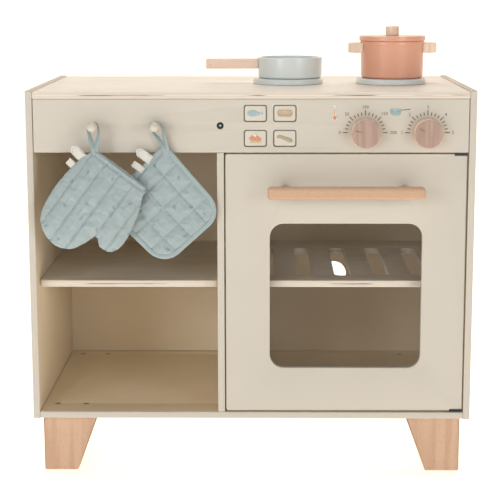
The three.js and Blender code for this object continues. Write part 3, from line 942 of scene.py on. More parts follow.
def sweep(
    name: str, route: Sequence[Vector], sides: Sequence[Vector], section: Sequence[Point],
    closed: bool = False,
) -> bpy.types.Object:
    """Carry a section along a route.

    Args:
        name: The piece's name.
        route: The route's points.
        sides: At each point, the direction of the section's first axis.
        section: The closed section, as (first axis, second axis).
        closed: Whether the route closes.

    Returns:
        The piece, at its place.
    """
    work = bmesh.new()
    rings = []
    count = len(route)
    for index, (point, side) in enumerate(zip(route, sides)):
        ahead = route[(index + 1) % count] if closed or index < count - 1 else point
        behind = route[index - 1] if closed or index else point
        along = (ahead - behind).normalized()
        across = (side - along * side.dot(along)).normalized()
        out = along.cross(across)
        rings.append([work.verts.new(point + across * x + out * y) for x, y in section])
    pairs = list(zip(rings, rings[1:] + rings[:1])) if closed else list(zip(rings, rings[1:]))
    width = len(section)
    for first, second in pairs:
        for index in range(width):
            after = (index + 1) % width
            work.faces.new([first[index], first[after], second[after], second[index]])
    if not closed:
        work.faces.new(rings[0])
        work.faces.new(rings[-1])
    mesh = bpy.data.meshes.new(name)
    work.to_mesh(mesh)
    work.free()
    tidy(mesh, 0.001 * MM, 50)
    return link(name, mesh)


def map_board(piece: bpy.types.Object, thickness_axis: int, grain_axis: int, face: Any, edge: Any) -> None:
    """Lay a board's UV map and give its faces and edges their finishes.

    On a face the map runs along and across the grain, in metres. On an edge its first axis runs along the
    edge in metres, and its second runs from 0 at one face of the board to 1 at the other.

    Args:
        piece: The board.
        thickness_axis: The axis through its thickness.
        grain_axis: The axis of the face's grain.
        face: The finish of the two faces.
        edge: The finish of the edges.
    """
    mesh = piece.data
    mesh.materials.clear()
    mesh.materials.append(face)
    mesh.materials.append(edge)
    cross_axis = 3 - thickness_axis - grain_axis
    depths = [vertex.co[thickness_axis] for vertex in mesh.vertices]
    low, span = min(depths), max(depths) - min(depths)
    layer = mesh.uv_layers[0] if mesh.uv_layers else mesh.uv_layers.new(name="grain")
    for polygon in mesh.polygons:
        on_edge = abs(polygon.normal[thickness_axis]) < 0.75
        polygon.material_index = 1 if on_edge else 0
        flat_x = abs(polygon.normal[grain_axis]) > abs(polygon.normal[cross_axis])
        for loop in polygon.loop_indices:
            spot = mesh.vertices[mesh.loops[loop].vertex_index].co
            if on_edge:
                run = spot[cross_axis] if flat_x else spot[grain_axis]
                layer.data[loop].uv = (run, (spot[thickness_axis] - low) / span)
            else:
                layer.data[loop].uv = (spot[grain_axis], spot[cross_axis])


def dress(piece: bpy.types.Object, *materials: bpy.types.Material) -> bpy.types.Object:
    """Give a piece its finishes."""
    piece.data.materials.clear()
    for material in materials:
        piece.data.materials.append(material)
    return piece


def commit(piece: bpy.types.Object, body: str, slot: str, *nodes: str) -> bpy.types.Object:
    """Fix a finished piece to its body.

    Args:
        piece: The piece.
        body: The CAD body that it moves with.
        slot: Not used.
        nodes: The CAD nodes that it stands for.

    Returns:
        The piece.
    """
    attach(piece, body)
    if nodes:
        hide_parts(*nodes)
    log.info("%s rides on %s, %d faces", piece.name, body, len(piece.data.polygons))
    return piece


def joined(name: str, parts: Sequence[bpy.types.Object]) -> bpy.types.Object:
    """Join loose meshes into one piece, keeping their finishes.

    Args:
        name: The piece's name.
        parts: The meshes.

    Returns:
        The piece.
    """
    materials: list[bpy.types.Material] = []
    work = bmesh.new()
    for part in parts:
        offset = len(materials)
        materials.extend(part.data.materials)
        start = len(work.faces)
        work.from_mesh(part.data)
        work.faces.ensure_lookup_table()
        for index in range(start, len(work.faces)):
            work.faces[index].material_index += offset
    mesh = bpy.data.meshes.new(name)
    work.to_mesh(mesh)
    work.free()
    for part in parts:
        old = part.data
        bpy.data.objects.remove(part)
        bpy.data.meshes.remove(old)
    for material in materials:
        mesh.materials.append(material)
    mesh.shade_smooth()
    mesh.set_sharp_from_angle(angle=math.radians(32))
    return link(name, mesh)


# ------------------------------------------------------------------ geometry nodes


class Repeat:
    """A Geometry Nodes tree under construction, and what turns its result into a plain mesh."""

    def __init__(self, name: str, inputs: Sequence[tuple[str, str]]) -> None:
        """Start a tree.

        Args:
            name: The tree's name.
            inputs: The named inputs, as (name, socket type).
        """
        self.tree = bpy.data.node_groups.new(name, "GeometryNodeTree")
        interface = self.tree.interface
        interface.new_socket("Geometry", in_out="INPUT", socket_type="NodeSocketGeometry")
        self.identifiers = {
            label: interface.new_socket(label, in_out="INPUT", socket_type=kind).identifier
            for label, kind in inputs
        }
        interface.new_socket("Geometry", in_out="OUTPUT", socket_type="NodeSocketGeometry")
        self.start = self.tree.nodes.new("NodeGroupInput")
        self.end = self.tree.nodes.new("NodeGroupOutput")

    def add(
        self, kind: str, settings: dict[str, Any] | None = None, inputs: dict[Any, Any] | None = None
    ) -> Any:
        """Add any node.

        Args:
            kind: The node's type.
            settings: Its properties.
            inputs: Its sockets, each a value or a socket.

        Returns:
            The node.
        """
        node = self.tree.nodes.new(kind)
        for name, value in (settings or {}).items():
            setattr(node, name, value)
        for name, value in (inputs or {}).items():
            if isinstance(value, bpy.types.NodeSocket):
                self.tree.links.new(value, node.inputs[name])
            else:
                node.inputs[name].default_value = value
        return node

    def math(self, operation: str, first: Any, second: Any = 0.0) -> bpy.types.NodeSocket:
        """Add a Math node and give its result."""
        return self.add("ShaderNodeMath", {"operation": operation}, {0: first, 1: second}).outputs[0]

    def finish(self, instances: bpy.types.NodeSocket) -> None:
        """Realize the instances and set their material, which is the input named Material."""
        real = self.add("GeometryNodeRealizeInstances", None, {0: instances})
        painted = self.add(
            "GeometryNodeSetMaterial", None, {
                "Geometry": real.outputs[0], "Material": self.start.outputs["Material"]
            }
        )
        self.tree.links.new(painted.outputs[0], self.end.inputs[0])

    def make(self, name: str, points: Sequence[Vector], **values: Any) -> bpy.types.Object:
        """Run the tree on a set of points or on a line through them.

        Args:
            name: The piece's name.
            points: The points, in metres.
            values: The inputs, with underscores for spaces; "runs" joins the points into lines of that many.

        Returns:
            The plain piece.
        """
        runs = values.pop("runs", None)
        edges: list[tuple[int, int]] = []
        start = 0
        for run in runs or []:
            edges.extend((index, index + 1) for index in range(start, start + run - 1))
            start += run
        mesh = bpy.data.meshes.new(name)
        mesh.from_pydata([tuple(point) for point in points], edges, [])
        source = link(name, mesh)
        modifier = source.modifiers.new(name, "NODES")
        modifier.node_group = self.tree
        for label, value in values.items():
            modifier[self.identifiers[label.replace("_", " ")]] = value
        result = plain_mesh(source, name)
        result.shade_smooth()
        result.set_sharp_from_angle(angle=math.radians(40))
        return link(name, result)


class Repeats:
    """The trees that the kitchen uses."""

    def __init__(self) -> None:
        """Build the trees."""
        self.fasteners = self._fasteners()
        self.ticks = self._ticks()
        self.stitches = self._stitches()
        self.springs = self._springs()

    @staticmethod
    def _fasteners() -> Repeat:
        """Set one fastener on each point, each turned by its own angle about its axis."""
        repeat = Repeat("fasteners", [
            ("Fastener", "NodeSocketObject"), ("Facing", "NodeSocketVector"), ("Seed", "NodeSocketInt"),
            ("Material", "NodeSocketMaterial"),
        ])
        given = repeat.start.outputs
        shape = repeat.add(
            "GeometryNodeObjectInfo", {"transform_space": "ORIGINAL"}, {"Object": given["Fastener"]}
        )
        placed = repeat.add(
            "GeometryNodeInstanceOnPoints", None,
            {"Points": given["Geometry"], "Instance": shape.outputs["Geometry"], "Rotation": given["Facing"]},
        )
        turn = repeat.add(
            "FunctionNodeRandomValue", {"data_type": "FLOAT"}, {2: 0.0, 3: FULL_TURN, "Seed": given["Seed"]}
        )
        spin = repeat.add("ShaderNodeCombineXYZ", None, {"Z": turn.outputs[1]})
        rotated = repeat.add(
            "GeometryNodeRotateInstances", None, {"Instances": placed.outputs[0], "Rotation": spin.outputs[0]}
        )
        repeat.finish(rotated.outputs[0])
        return repeat

    @staticmethod
    def _ticks() -> Repeat:
        """Set ticks on an arc in the front plane; every so many of them is a long one."""
        repeat = Repeat("scale_ticks", [
            ("Centre", "NodeSocketVector"), ("Count", "NodeSocketInt"), ("Inner radius", "NodeSocketFloat"),
            ("Short", "NodeSocketFloat"), ("Long", "NodeSocketFloat"), ("Every", "NodeSocketInt"),
            ("Width", "NodeSocketFloat"), ("Height", "NodeSocketFloat"), ("Material", "NodeSocketMaterial"),
        ])
        given = repeat.start.outputs
        line = repeat.add("GeometryNodeMeshLine", None, {"Count": given["Count"]})
        index = repeat.add("GeometryNodeInputIndex").outputs[0]
        last = repeat.math("SUBTRACT", given["Count"], 1.0)
        angle = repeat.math("MULTIPLY", repeat.math("DIVIDE", index, last), math.pi)
        is_long = repeat.math("LESS_THAN", repeat.math("MODULO", index, given["Every"]), 0.5)
        extra = repeat.math("MULTIPLY", is_long, repeat.math("SUBTRACT", given["Long"], given["Short"]))
        length = repeat.math("ADD", given["Short"], extra)
        middle = repeat.math("ADD", given["Inner radius"], repeat.math("MULTIPLY", length, 0.5))
        across = repeat.math("MULTIPLY", repeat.math("COSINE", angle), middle)
        up = repeat.math("MULTIPLY", repeat.math("SINE", angle), middle)
        offset = repeat.add("ShaderNodeCombineXYZ", None, {"X": across, "Z": up}).outputs[0]
        place = repeat.add(
            "ShaderNodeVectorMath", {"operation": "ADD"}, {0: offset, 1: given["Centre"]}
        ).outputs[0]
        moved = repeat.add("GeometryNodeSetPosition", None, {"Geometry": line.outputs[0], "Position": place})
        size = repeat.add(
            "ShaderNodeCombineXYZ", None, {"X": 1.0, "Y": given["Height"], "Z": given["Width"]}
        ).outputs[0]
        bar = repeat.add("GeometryNodeMeshCube", None, {"Size": size})
        stretch = repeat.add("ShaderNodeCombineXYZ", None, {"X": length, "Y": 1.0, "Z": 1.0}).outputs[0]
        turn = repeat.add(
            "ShaderNodeCombineXYZ", None, {"Y": repeat.math("MULTIPLY", angle, -1.0)}
        ).outputs[0]
        placed = repeat.add(
            "GeometryNodeInstanceOnPoints", None,
            {"Points": moved.outputs[0], "Instance": bar.outputs[0], "Rotation": turn, "Scale": stretch},
        )
        repeat.finish(placed.outputs[0])
        return repeat

    @staticmethod
    def _stitches() -> Repeat:
        """Run a seam of separate stitches along the given lines."""
        repeat = Repeat("stitches", [
            ("Pitch", "NodeSocketFloat"), ("Length", "NodeSocketFloat"), ("Thread", "NodeSocketFloat"),
            ("Material", "NodeSocketMaterial"),
        ])
        given = repeat.start.outputs
        curve = repeat.add("GeometryNodeMeshToCurve", None, {0: given["Geometry"]})
        spaced = repeat.add(
            "GeometryNodeResampleCurve", {"mode": "LENGTH"}, {0: curve.outputs[0], "Length": given["Pitch"]}
        )
        along = repeat.add("GeometryNodeInputTangent").outputs[0]
        facing = repeat.add("FunctionNodeAlignRotationToVector", {"axis": "Z"}, {"Vector": along}).outputs[0]
        stitch = repeat.add(
            "GeometryNodeMeshUVSphere", None, {"Segments": 6, "Rings": 4, "Radius": given["Thread"]}
        )
        ratio = repeat.math("DIVIDE", given["Length"], repeat.math("MULTIPLY", given["Thread"], 2.0))
        stretch = repeat.add("ShaderNodeCombineXYZ", None, {"X": 1.0, "Y": 1.0, "Z": ratio}).outputs[0]
        placed = repeat.add(
            "GeometryNodeInstanceOnPoints", None,
            {
                "Points": spaced.outputs[0], "Instance": stitch.outputs[0], "Rotation": facing,
                "Scale": stretch
            },
        )
        repeat.finish(placed.outputs[0])
        return repeat

    @staticmethod
    def _springs() -> Repeat:
        """Wind a compression spring from the first point towards the back."""
        repeat = Repeat("compression_spring", [
            ("Radius", "NodeSocketFloat"), ("Wire", "NodeSocketFloat"), ("Turns", "NodeSocketFloat"),
            ("Length", "NodeSocketFloat"), ("Material", "NodeSocketMaterial"),
        ])
        given = repeat.start.outputs
        helix = repeat.add(
            "GeometryNodeCurveSpiral", None,
            {"Resolution": 24, "Rotations": given["Turns"], "Start Radius": given["Radius"],
             "End Radius": given["Radius"], "Height": given["Length"]},
        )
        wire = repeat.add(
            "GeometryNodeCurvePrimitiveCircle", None, {"Resolution": 8, "Radius": given["Wire"]}
        )
        solid = repeat.add(
            "GeometryNodeCurveToMesh", None, {0: helix.outputs[0], 1: wire.outputs[0], "Fill Caps": True}
        )
        placed = repeat.add(
            "GeometryNodeInstanceOnPoints", None,
            {"Points": given["Geometry"], "Instance": solid.outputs[0], "Rotation": (-math.pi / 2, 0.0, 0.0)},
        )
        repeat.finish(placed.outputs[0])
        return repeat


@dataclass
class ScrewHead:
    """A countersunk screw head with a cross recess, facing +Z with its top at height 0."""

    radius: float = 3.6
    depth: float = 1.8
    recess: float = 1.9
    bar: float = 0.45

    def build(self, name: str) -> bpy.types.Object:
        """Make the head as a source for copies.

        Args:
            name: The source's name.

        Returns:
            The source object.
        """
        radius, depth = self.radius * MM, self.depth * MM
        profile = fillet(
            [
                (0, -depth, 0), (radius * 0.45, -depth, 0), (radius, -0.5 * MM, 0), (radius, 0, 0.3 * MM),
                (0, 0.15 * MM, 0)
            ],
            closed=False,
        )
        head = turned(name, profile, Vector((0, 0, 0)), Vector((0, 0, 1)), 24)
        for turn in (0.0, math.pi / 2):
            long, short = self.recess * MM, self.bar * MM
            bar = slab(
                "recess", [rectangle(-long, long, -short, short, 0.15 * MM)], -1.0 * MM, 1.0 * MM,
                Plane.TOP, 0.05 * MM
            )
            bar.data.transform(Matrix.Rotation(turn, 4, "Z"))
            cut = head.modifiers.new("recess", "BOOLEAN")
            cut.operation = "DIFFERENCE"
            cut.solver = "EXACT"
            cut.object = bar
            bpy.context.view_layer.update()
            graph = bpy.context.evaluated_depsgraph_get()
            mesh = bpy.data.meshes.new_from_object(head.evaluated_get(graph), depsgraph=graph)
            head.modifiers.clear()
            head.data = mesh
            bpy.data.objects.remove(bar)
        return head


# ------------------------------------------------------------------ frame access


class Frame:
    """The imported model's boxes."""

    def __init__(self, loaded: dict[str, Any]) -> None:
        self.nodes: dict[str, bpy.types.Object] = loaded["nodes"]
        self.joints = {joint["name"]: joint for joint in loaded["joints"]}

    @staticmethod
    def spans(node: str) -> tuple[tuple[float, float], tuple[float, float], tuple[float, float]]:
        """A node's lowest and highest X, Y and Z."""
        low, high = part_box(node)
        return ((low.x, high.x), (low.y, high.y), (low.z, high.z))

    @staticmethod
    def centre(node: str) -> Vector:
        """The middle of a node's box."""
        low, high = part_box(node)
        return (low + high) / 2

    def paint(self, material: bpy.types.Material, *names: str) -> None:
        """Give carried-over CAD nodes a finish."""
        for name in names:
            dress(self.nodes[name], material)
            log.info("%s keeps its CAD shape", name)


# ------------------------------------------------------------------ cabinet


@dataclass
class Cabinet:
    """The plywood carcass on its four feet."""

    frame: Frame
    finishes: Finishes
    repeats: Repeats
    ease: float = 0.9
    corner: float = 2.0
    foot_corner: float = 2.5
    foot_top: float = 76.5
    foot_bottom: float = 47.0
    slot_pitch: float = 53.5
    slot_width: float = 22.5
    slot_count: int = 5
    slot_inset: tuple[float, float] = (35.0, 59.0)
    foot_screw_spread: float = 20.0
    screw_clearance: float = 0.15

    def board(
        self, node: str, plane: Plane, grain: int, holes: Sequence[Sequence[Point]] = (), corner: float = 0.8,
        natural: bool = False, outline: Sequence[Point] | None = None,
    ) -> bpy.types.Object:
        """Cut, map and fix one board of the carcass.

        Args:
            node: The CAD node that it stands for.
            plane: The plane of its faces.
            grain: The axis of its face grain.
            holes: The outlines of its holes.
            corner: The radius of its outline's corners in millimetres.
            natural: Whether it is lacquered plywood and not painted.
            outline: Its outline, where that isn't its box.

        Returns:
            The board.
        """
        spans = self.frame.spans(node)
        first, second, third = (spans[axis] for axis in plane.value)
        shape = outline or rectangle(*first, *second, corner * MM)
        piece = slab(
            f"{node}_board", [shape, *holes], *third, plane,
            min(self.ease * MM, (third[1] - third[0]) * 0.2)
        )
        face = self.finishes.birch if natural else self.finishes.cream
        # The divider's faces take the cream with painted warm bounce light.
        if node == "divider":
            face = self.finishes.cream_painted_bounce
        edge = self.finishes.birch_edge if natural else self.finishes.cream_edge
        map_board(piece, plane.value[2], grain, face, edge)
        # Faces that look into the compartments take the cream with painted warm bounce light.
        if node in INWARD:
            piece.data.materials.append(self.finishes.cream_painted_bounce)
            for polygon in piece.data.polygons:
                if polygon.normal.dot(INWARD[node]) > 0.9:
                    polygon.material_index = len(piece.data.materials) - 1
        return commit(piece, "cabinet", "plywood" if natural else "cream_paint", node)

    def build(self) -> None:
        """Make the whole carcass."""
        self.board("left_side_panel", Plane.SIDE, 2, corner=self.corner)
        self.board("right_side_panel", Plane.SIDE, 2, corner=self.corner)
        self.board("worktop", Plane.TOP, 0, natural=True)
        self.board("back_panel", Plane.FRONT, 0, [self._back_hole()])
        self.board("bottom_panel", Plane.TOP, 0, self._foot_screw_holes())
        self.board("divider", Plane.SIDE, 2, outline=self._divider_outline())
        self._shelves()
        self._feet()
        self._screws()
        self._catch()
        self.frame.paint(self.finishes.hinge_steel, "upper_hinge_plate", "lower_hinge_plate")

    def _back_hole(self) -> list[Point]:
        """The round hole in the back panel, centred under the oven shelf."""
        (x0, x1), _, _ = self.frame.spans("oven_shelf")
        _, _, (shelf_low, _) = self.frame.spans("oven_shelf")
        return circle((x0 + x1) / 2, shelf_low - 43.6 * MM, 19.5 * MM, 64)

    def _divider_outline(self) -> list[Point]:
        """The divider's side view, notched behind the control panel."""
        _, (y0, y1), (z0, z1) = self.frame.spans("divider")
        _, (_, panel_back), (panel_low, _) = self.frame.spans("control_panel")
        notch_y, notch_z = panel_back + 0.3 * MM, panel_low - 0.3 * MM
        ease = 0.6 * MM
        return fillet([
            (y0, z0, ease), (y1, z0, ease), (y1, z1, ease), (notch_y, z1, ease),
            (notch_y, notch_z, ease), (y0, notch_z, ease)
        ])

    def _foot_screws(self) -> list[Vector]:
        """Where the screws into the feet sit, two over each foot."""
        _, _, (_, top) = self.frame.spans("bottom_panel")
        spots = []
        for row in ("front", "rear"):
            for side, sign in (("left", -1), ("right", 1)):
                middle = self.frame.centre(f"{row}_{side}_foot")
                for shift in (-self.foot_screw_spread, self.foot_screw_spread):
                    across = middle.x + (shift + sign * 0.5) * MM
                    spots.append(Vector((across, middle.y, top - self.screw_clearance * MM)))
        return spots

    def _foot_screw_holes(self) -> list[list[Point]]:
        """The sinkings round the foot screws."""
        return [circle(spot.x, spot.y, 3.9 * MM, 24) for spot in self._foot_screws()]

    def _shelves(self) -> None:
        """The two shelves; the oven's has slots."""
        for node in ("left_shelf", "oven_shelf"):
            (x0, x1), (y0, y1), _ = self.frame.spans(node)
            outline = fillet([(x0, y0, 6 * MM), (x1, y0, 6 * MM), (x1, y1, 0.6 * MM), (x0, y1, 0.6 * MM)])
            holes = []
            if node == "oven_shelf":
                front, rear = y0 + self.slot_inset[0] * MM, y1 - self.slot_inset[1] * MM + 0.3 * MM
                half = self.slot_width / 2 * MM
                for index in range(self.slot_count):
                    x = (x0 + x1) / 2 + (index - (self.slot_count - 1) / 2) * self.slot_pitch * MM
                    holes.append(rectangle(x - half, x + half, front, rear, half * 0.97))
            self.board(node, Plane.TOP, 0, holes, natural=True, outline=outline)

    def _feet(self) -> None:
        """Four tapered beech feet with softened corners."""
        for row in ("front", "rear"):
            for side, sign in (("left", -1), ("right", 1)):
                node = f"{row}_{side}_foot"
                (x0, x1), depth, (z0, z1) = self.frame.spans(node)
                outer = x0 if sign < 0 else x1
                inner_low = outer - sign * self.foot_bottom * MM
                inner_high = outer - sign * self.foot_top * MM
                soft = self.foot_corner * MM
                shape = fillet([
                    (outer, z0, soft), (inner_low, z0, soft), (inner_high, z1, 0.5 * MM),
                    (outer, z1, 0.5 * MM)
                ])
                foot = slab(f"{node}_block", [shape], *depth, Plane.FRONT, 1.2 * MM)
                commit(dress(foot, self.finishes.beech_z), "cabinet", "beech", node)

    def _screws(self) -> None:
        """Screws over the feet, in the side panels and round the back panel."""
        head = ScrewHead().build("screw_source")
        sets = [
            ("foot_screws", self._foot_screws(), (0.0, 0.0, 0.0), 3),
            ("left_panel_screws", self._side_screws("left_side_panel", 0), (0.0, -math.pi / 2, 0.0), 5),
            ("right_panel_screws", self._side_screws("right_side_panel", 1), (0.0, math.pi / 2, 0.0), 7),
            ("back_panel_screws", self._back_screws(), (-math.pi / 2, 0.0, 0.0), 11),
        ]
        for name, points, facing, seed in sets:
            piece = self.repeats.fasteners.make(
                name, points, Fastener=head, Facing=facing, Seed=seed, Material=self.finishes.steel
            )
            commit(piece, "cabinet", "zinc_steel")
        bpy.data.objects.remove(head)

    def _side_screws(self, panel: str, end: int) -> list[Vector]:
        """The screws through a side panel into the boards that it carries.

        Args:
            panel: The side panel's node.
            end: 0 for its left face and 1 for its right face.

        Returns:
            The screws' places on its outer face.
        """
        x = self.frame.spans(panel)[0][end]
        _, (y0, y1), _ = self.frame.spans(panel)
        shelf = "left_shelf" if end == 0 else "oven_shelf"
        rows = [self.frame.centre(name).z for name in ("bottom_panel", shelf, "worktop")]
        inset = 0.12 * MM if end == 0 else -0.12 * MM
        return [
            Vector((x + inset, y0 + (y1 - y0) * part, z)) for z in rows for part in (0.16, 0.84)
        ]

    def _back_screws(self) -> list[Vector]:
        """The screws round the back panel."""
        (x0, x1), (_, y), (z0, z1) = self.frame.spans("back_panel")
        inset = 8 * MM
        spots = []
        for part in (0.0, 0.25, 0.5, 0.75, 1.0):
            x = x0 + inset + (x1 - x0 - 2 * inset) * part
            spots += [Vector((x, y - 0.1 * MM, z0 + inset)), Vector((x, y - 0.1 * MM, z1 - inset))]
        for part in (1 / 3, 2 / 3):
            z = z0 + inset + (z1 - z0 - 2 * inset) * part
            spots += [Vector((x0 + inset, y - 0.1 * MM, z)), Vector((x1 - inset, y - 0.1 * MM, z))]
        return spots

    def _catch(self) -> None:
        """The magnet catch: a moulded case with two pole plates at its front."""
        (x0, x1), (y0, y1), (z0, z1) = self.frame.spans("magnet_catch")
        case = slab(
            "catch_case", [rectangle(x0, x1, z0, z1, 2.5 * MM)], y0 + 1.0 * MM, y1, Plane.FRONT, 0.8 * MM
        )
        dress(case, self.finishes.plastic)
        plates = []
        for part in (0.32, 0.68):
            x = x0 + (x1 - x0) * part
            plate = slab(
                "pole_plate", [rectangle(x - 1.1 * MM, x + 1.1 * MM, z0 + 5 * MM, z1 - 5 * MM, 0.4 * MM)],
                y0, y0 + 4 * MM, Plane.FRONT, 0.2 * MM,
            )
            plates.append(dress(plate, self.finishes.steel))
        magnet = slab(
            "magnet", [
                rectangle(
                    (x0 + x1) / 2 - 1.5 * MM, (x0 + x1) / 2 + 1.5 * MM, z0 + 6 * MM, z1 - 6 * MM, 0.3 * MM
                )
            ],
            y0 + 0.6 * MM, y0 + 4 * MM, Plane.FRONT, 0.2 * MM,
        )
        plates.append(dress(magnet, self.finishes.dark_plastic))
        commit(joined("magnet_catch_case", [case, *plates]), "cabinet", "catch_plastic", "magnet_catch")


# ------------------------------------------------------------------ control panel


@dataclass
class ControlPanel:
    """The fascia with its prints, pegs, dials and push buttons."""

    frame: Frame
    finishes: Finishes
    repeats: Repeats
    print_height: float = 0.12
    tick_inner: float = 23.1
    tick_short: float = 4.2
    tick_long: float = 6.6
    tick_width: float = 1.4
    ticks: int = 17
    number_radius: float = 33.8
    number_size: float = 6.2
    button_play: float = 1.1
    hole_corner: float = 3.5
    pointer: tuple[float, float, float] = (6.5, 15.1, 1.8)
    pointer_turns: dict[str, float] = field(default_factory=lambda: {"temperature": 162.0, "hob": 150.0})
    buttons: tuple[str, ...] = ("fish", "bun", "cake", "loaf")

    def build(self) -> None:
        """Make the fascia and everything on it."""
        self._fascia()
        self._fascia_screw()
        self._pegs()
        scales = {"temperature": ["0", "50", "100", "150", "200"], "hob": ["1", "2", "3", "4", "5"]}
        for name, numbers in scales.items():
            self._scale(name, numbers)
            self._dial(name)
        self._thermometer()
        self._pan_icon()
        for name in self.buttons:
            self._button(name)
        self._button_frame()

    def _front(self) -> float:
        """The fascia's front plane."""
        return self.frame.spans("control_panel")[1][0]

    def _fascia(self) -> None:
        """The board with its openings."""
        (x0, x1), depth, (z0, z1) = self.frame.spans("control_panel")
        holes = []
        for name in self.buttons:
            centre = self.frame.centre(f"{name}_button")
            half_x, half_z = self._cap_half()
            play = self.button_play * MM
            holes.append(rectangle(
                centre.x - half_x - play, centre.x + half_x + play,
                centre.z - half_z - play, centre.z + half_z + play,
                self.hole_corner * MM,
            ))
        for node in ("temperature_knob", "hob_knob"):
            centre = self.frame.centre(node)
            holes.append(circle(centre.x, centre.z, 4.6 * MM))
        for node in ("mitt_peg", "holder_peg"):
            centre = self.frame.centre(node)
            holes.append(circle(centre.x, centre.z, 3.4 * MM))
        screw = self.frame.centre("fascia_screw")
        holes.append(circle(screw.x, screw.z, 4.6 * MM))
        board = slab(
            "control_panel_board", [rectangle(x0, x1, z0, z1, 1.0 * MM), *holes], *depth, Plane.FRONT,
            0.8 * MM
        )
        map_board(board, 1, 0, self.finishes.cream, self.finishes.cream)
        commit(board, "cabinet", "cream_paint", "control_panel")

    @staticmethod
    def _cap_half() -> tuple[float, float]:
        """Half the width and height of a button's cap."""
        return (14.2 * MM, 10.2 * MM)

    def _fascia_screw(self) -> None:
        """The connector bolt: a dark ring round a hexagon socket with a bright bottom."""
        centre = self.frame.centre("fascia_screw")
        _, (y0, y1), _ = self.frame.spans("fascia_screw")
        place = Vector((centre.x, y0, centre.z))
        back = Vector((0, -1, 0))
        ring = turned(
            "bolt_ring",
            fillet([
                (1.9 * MM, 0.0, 0), (4.2 * MM, 0.0, 0.7 * MM), (4.2 * MM, -2.0 * MM, 0),
                (2 * MM, -2.0 * MM, 0),
                    (2 * MM, y0 - y1, 0), (0, y0 - y1, 0), (0, -1.6 * MM, 0), (1.9 * MM, -1.6 * MM, 0),
                    (1.9 * MM, 0.0, 0)], closed=False),
            place, back, 48,
        )
        dress(ring, self.finishes.black_steel)
        socket = turned(
            "bolt_socket", [(0, -1.4 * MM), (1.8 * MM, -1.4 * MM), (1.8 * MM, -1.0 * MM), (0, -0.9 * MM)],
            place, back, 6,
        )
        dress(socket, self.finishes.steel)
        commit(joined("fascia_bolt", [ring, socket]), "cabinet", "black_steel", "fascia_screw")

    def _pegs(self) -> None:
        """Two painted ball pegs."""
        for name in ("mitt", "holder"):
            node = f"{name}_peg"
            _, (y0, y1), _ = self.frame.spans(node)
            radius, neck = 7 * MM, 3 * MM
            ball = y0 + radius
            start = math.asin(neck / radius)
            turns = [start + (math.pi - start) * step / 24 for step in range(24)]
            arc = [(radius * math.sin(turn), -ball - radius * math.cos(turn)) for turn in turns]
            profile = [(0, -y1), (neck, -y1), *arc, (0, -ball + radius)]
            middle = self.frame.centre(node)
            peg = turned(f"{node}_turned", profile, Vector((middle.x, 0, middle.z)), Vector((0, -1, 0)), 48)
            commit(dress(peg, self.finishes.cream), "cabinet", "cream_paint", node)

    def _scale(self, name: str, numbers: Sequence[str]) -> None:
        """Print one dial's ticks and numbers.

        Args:
            name: The dial.
            numbers: The numbers, from the left to the right.
        """
        centre = self.frame.centre(f"{name}_knob")
        front = self._front()
        height = self.print_height * MM
        ticks = self.repeats.ticks.make(
            f"{name}_scale_ticks", [Vector((0, 0, 0))],
            Centre=(centre.x, front - height / 2, centre.z),
            Count=self.ticks, Inner_radius=self.tick_inner * MM,
            Short=self.tick_short * MM, Long=self.tick_long * MM, Every=(self.ticks - 1) // 4,
            Width=self.tick_width * MM, Height=height, Material=self.finishes.scale_ink,
        )
        commit(ticks, "cabinet", "cream_paint")
        parts = []
        for index, number in enumerate(numbers):
            angle = math.pi * (1 - index / (len(numbers) - 1))
            radius = self.number_radius + (1.2 if len(number) > 2 and index == len(numbers) - 1 else 0)
            radius += 1.2 * (len(number) - 1) * abs(math.cos(angle))
            spot = Vector((
                centre.x + radius * MM * math.cos(angle), front - height,
                centre.z + radius * MM * math.sin(angle)
            ))
            parts.append(self._number(number, spot))
        commit(joined(f"{name}_scale_numbers", parts), "cabinet", "cream_paint")

    def _number(self, text: str, spot: Vector) -> bpy.types.Object:
        """Print one number, centred on a spot."""
        curve = bpy.data.curves.new(f"number_{text}", "FONT")
        curve.body = text
        curve.size = self.number_size * MM
        curve.align_x = "CENTER"
        curve.align_y = "CENTER"
        curve.extrude = self.print_height * MM / 2
        curve.offset = 0.05 * MM
        curve.resolution_u = 3
        source = bpy.data.objects.new(curve.name, curve)
        bpy.context.scene.collection.objects.link(source)
        mesh = plain_mesh(source, curve.name)
        bpy.data.curves.remove(curve)
        shift = Vector((0, self.print_height * MM / 2, 0))
        mesh.transform(Matrix.Translation(spot + shift) @ FRONT_FACING.to_matrix().to_4x4())
        tidy(mesh, 0.0005 * MM)
        return dress(link(f"number_{text}", mesh), self.finishes.number_ink)

    def _print(
        self, name: str, outline: Sequence[Point], centre: Vector, front: float, ink: bpy.types.Material,
        layer: int = 1,
    ) -> bpy.types.Object:
        """Print one flat shape.

        Args:
            name: Its name.
            outline: Its outline in millimetres about the centre.
            centre: The middle of the print.
            front: The plane that it is printed on.
            ink: Its colour.
            layer: 1 for the first ink, and more for one over another.

        Returns:
            The print.
        """
        loop = [(centre.x + x * MM, centre.z + z * MM) for x, z in outline]
        depth = self.print_height * MM
        return dress(
            slab(name, [loop], front - depth * layer, front - depth * (layer - 1), Plane.FRONT, 0.02 * MM),
            ink
        )

